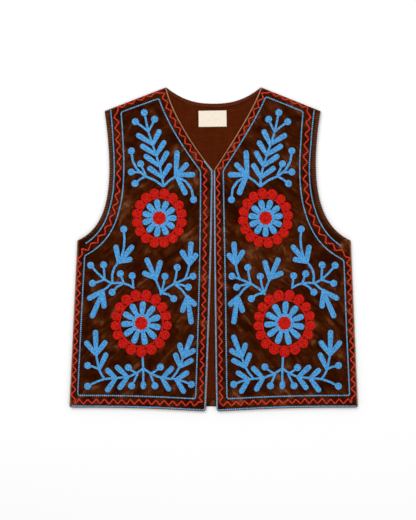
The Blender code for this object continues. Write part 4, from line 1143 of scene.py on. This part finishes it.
x, y, near = back_grid(0, 0, 0, *BACK_GRID)
z = BACK_RIM * (1 - np.sqrt(np.clip(1 - (1 - np.clip(near / BACK_RIM, 0, 1)) ** 2, 0, 1)))
half = np.where(x < 0, outer_x(y, -1), outer_x(y, 1))
side_seam = (np.abs(x) > half - BACK_SEAM_ZONE) & (y < UNDERARM_Y)
shoulder = (y > back_top_y(x) - BACK_SEAM_ZONE) & (np.abs(x) > SHOULDER_NECK[0])
seams = (side_seam | shoulder).ravel()[rim_of(*x.shape)]
folds = [BACK_SEAM_FOLD if seam else BACK_OPEN_FOLD for seam in seams]
back = sheet("back_velvet", x, y, z, VELVET, folds, up=False)
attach(back, "root")
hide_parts("back_panel")

x, y, near = back_grid(*LINING_INSETS, *LINING_GRID)
z = LINING_Z + LINING_WALL * smooth(near / 0.0010)
wrinkles = WRINKLE.height * noise_field(x, y * WRINKLE_STRETCH, WRINKLE.size, WRINKLE.seed)
z += smooth(near / 0.012) * (wrinkles - 0.0001)
lining = sheet("lining", x, y, z, LINING, folded_under(x, (0.0006, LINING_Z)))
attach(lining, "root")
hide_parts("back_lining")

# A band of the lining's cloth along the back neckline
reaches = np.linspace(-SHOULDER_NECK[0] + 0.001, SHOULDER_NECK[0] - 0.001, BAND_GRID[1])
downs = np.linspace(*BAND_DOWN, BAND_GRID[0])
x = np.broadcast_to(reaches, BAND_GRID).copy()
y = back_top_y(x) - downs[:, None]
facing = sheet("neck_facing_cloth", x, y, rounded_band(x), BAND, folded_under(x, BAND_UNDER))
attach(facing, "root")
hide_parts("neck_facing")

# Velvet turned up at the back's hem
reaches = np.linspace(-HEM_BAND_HALF, HEM_BAND_HALF, HEM_GRID[1])
x, y = np.meshgrid(reaches, np.linspace(*HEM_BAND_Y, HEM_GRID[0]))
hem = sheet("hem_facing_velvet", x, y, rounded_band(x), VELVET, folded_under(x, BAND_UNDER))
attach(hem, "root")
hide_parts("hem_facing")

# The bare label
columns = np.linspace(-LABEL_HALF[0], LABEL_HALF[0], LABEL_GRID[1])
x, y = np.meshgrid(columns, np.linspace(-LABEL_HALF[1], LABEL_HALF[1], LABEL_GRID[0]))
near = np.minimum(LABEL_HALF[0] - np.abs(x), LABEL_HALF[1] - np.abs(y))
z = LINING_TOP + 0.0003 + 0.0007 * np.sqrt(smooth(near / 0.0012)) + 0.0002 * noise_field(x, y, 0.012, 9)
way = direction(LABEL_TURN)
x, y = LABEL_PLACE[0] + x * way[0] - y * way[1], LABEL_PLACE[1] + x * way[1] + y * way[0]
label = sheet("label_cloth", x, y, z, LABEL, folded_under(x, (0.0003, LINING_TOP)))
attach(label, "root")
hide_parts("label")


# Stage

floor_look = new_material("floor", 0.9)
floor_look.node_tree.nodes["Principled BSDF"].inputs["Base Color"].default_value = (0.90, 0.90, 0.90, 1)
bpy.ops.mesh.primitive_plane_add(size=12, location=(0, 0, -0.0002))
floor = bpy.context.object
floor.name = "floor"
floor.data.materials.append(floor_look)

world = bpy.data.worlds.new("studio")
bpy.context.scene.world = world
world.use_nodes = True
world.node_tree.nodes["Background"].inputs["Color"].default_value = (1, 1, 1, 1)
world.node_tree.nodes["Background"].inputs["Strength"].default_value = 0.75


def area_light(name, place, size, power, target=(0, 0, 0)):
    data = bpy.data.lights.new(name, "AREA")
    data.shape = "RECTANGLE"
    data.size, data.size_y = size
    data.energy = power
    made = bpy.data.objects.new(name, data)
    made.location = place
    made.rotation_euler = (Vector(target) - Vector(place)).to_track_quat("-Z", "Y").to_euler()
    bpy.context.scene.collection.objects.link(made)


area_light("key", (-0.7, 0.9, 1.5), (0.9, 0.9), 14)
area_light("fill", (1.0, -0.3, 1.5), (1.4, 1.4), 6)

# The camera, straight above, so far up that the picture's height spans that length at the place it aims at
AIM = (-0.0093, -0.0167, 0.0070)
PICTURE_SPAN = 0.858
camera_data = bpy.data.cameras.new("camera")
camera_data.lens = 85
camera_data.sensor_width = 36
camera = bpy.data.objects.new("camera", camera_data)
camera.location = (*AIM[:2], AIM[2] + PICTURE_SPAN * camera_data.lens / camera_data.sensor_width)
bpy.context.scene.collection.objects.link(camera)
bpy.context.scene.camera = camera
bpy.context.scene.view_settings.view_transform = "Standard"
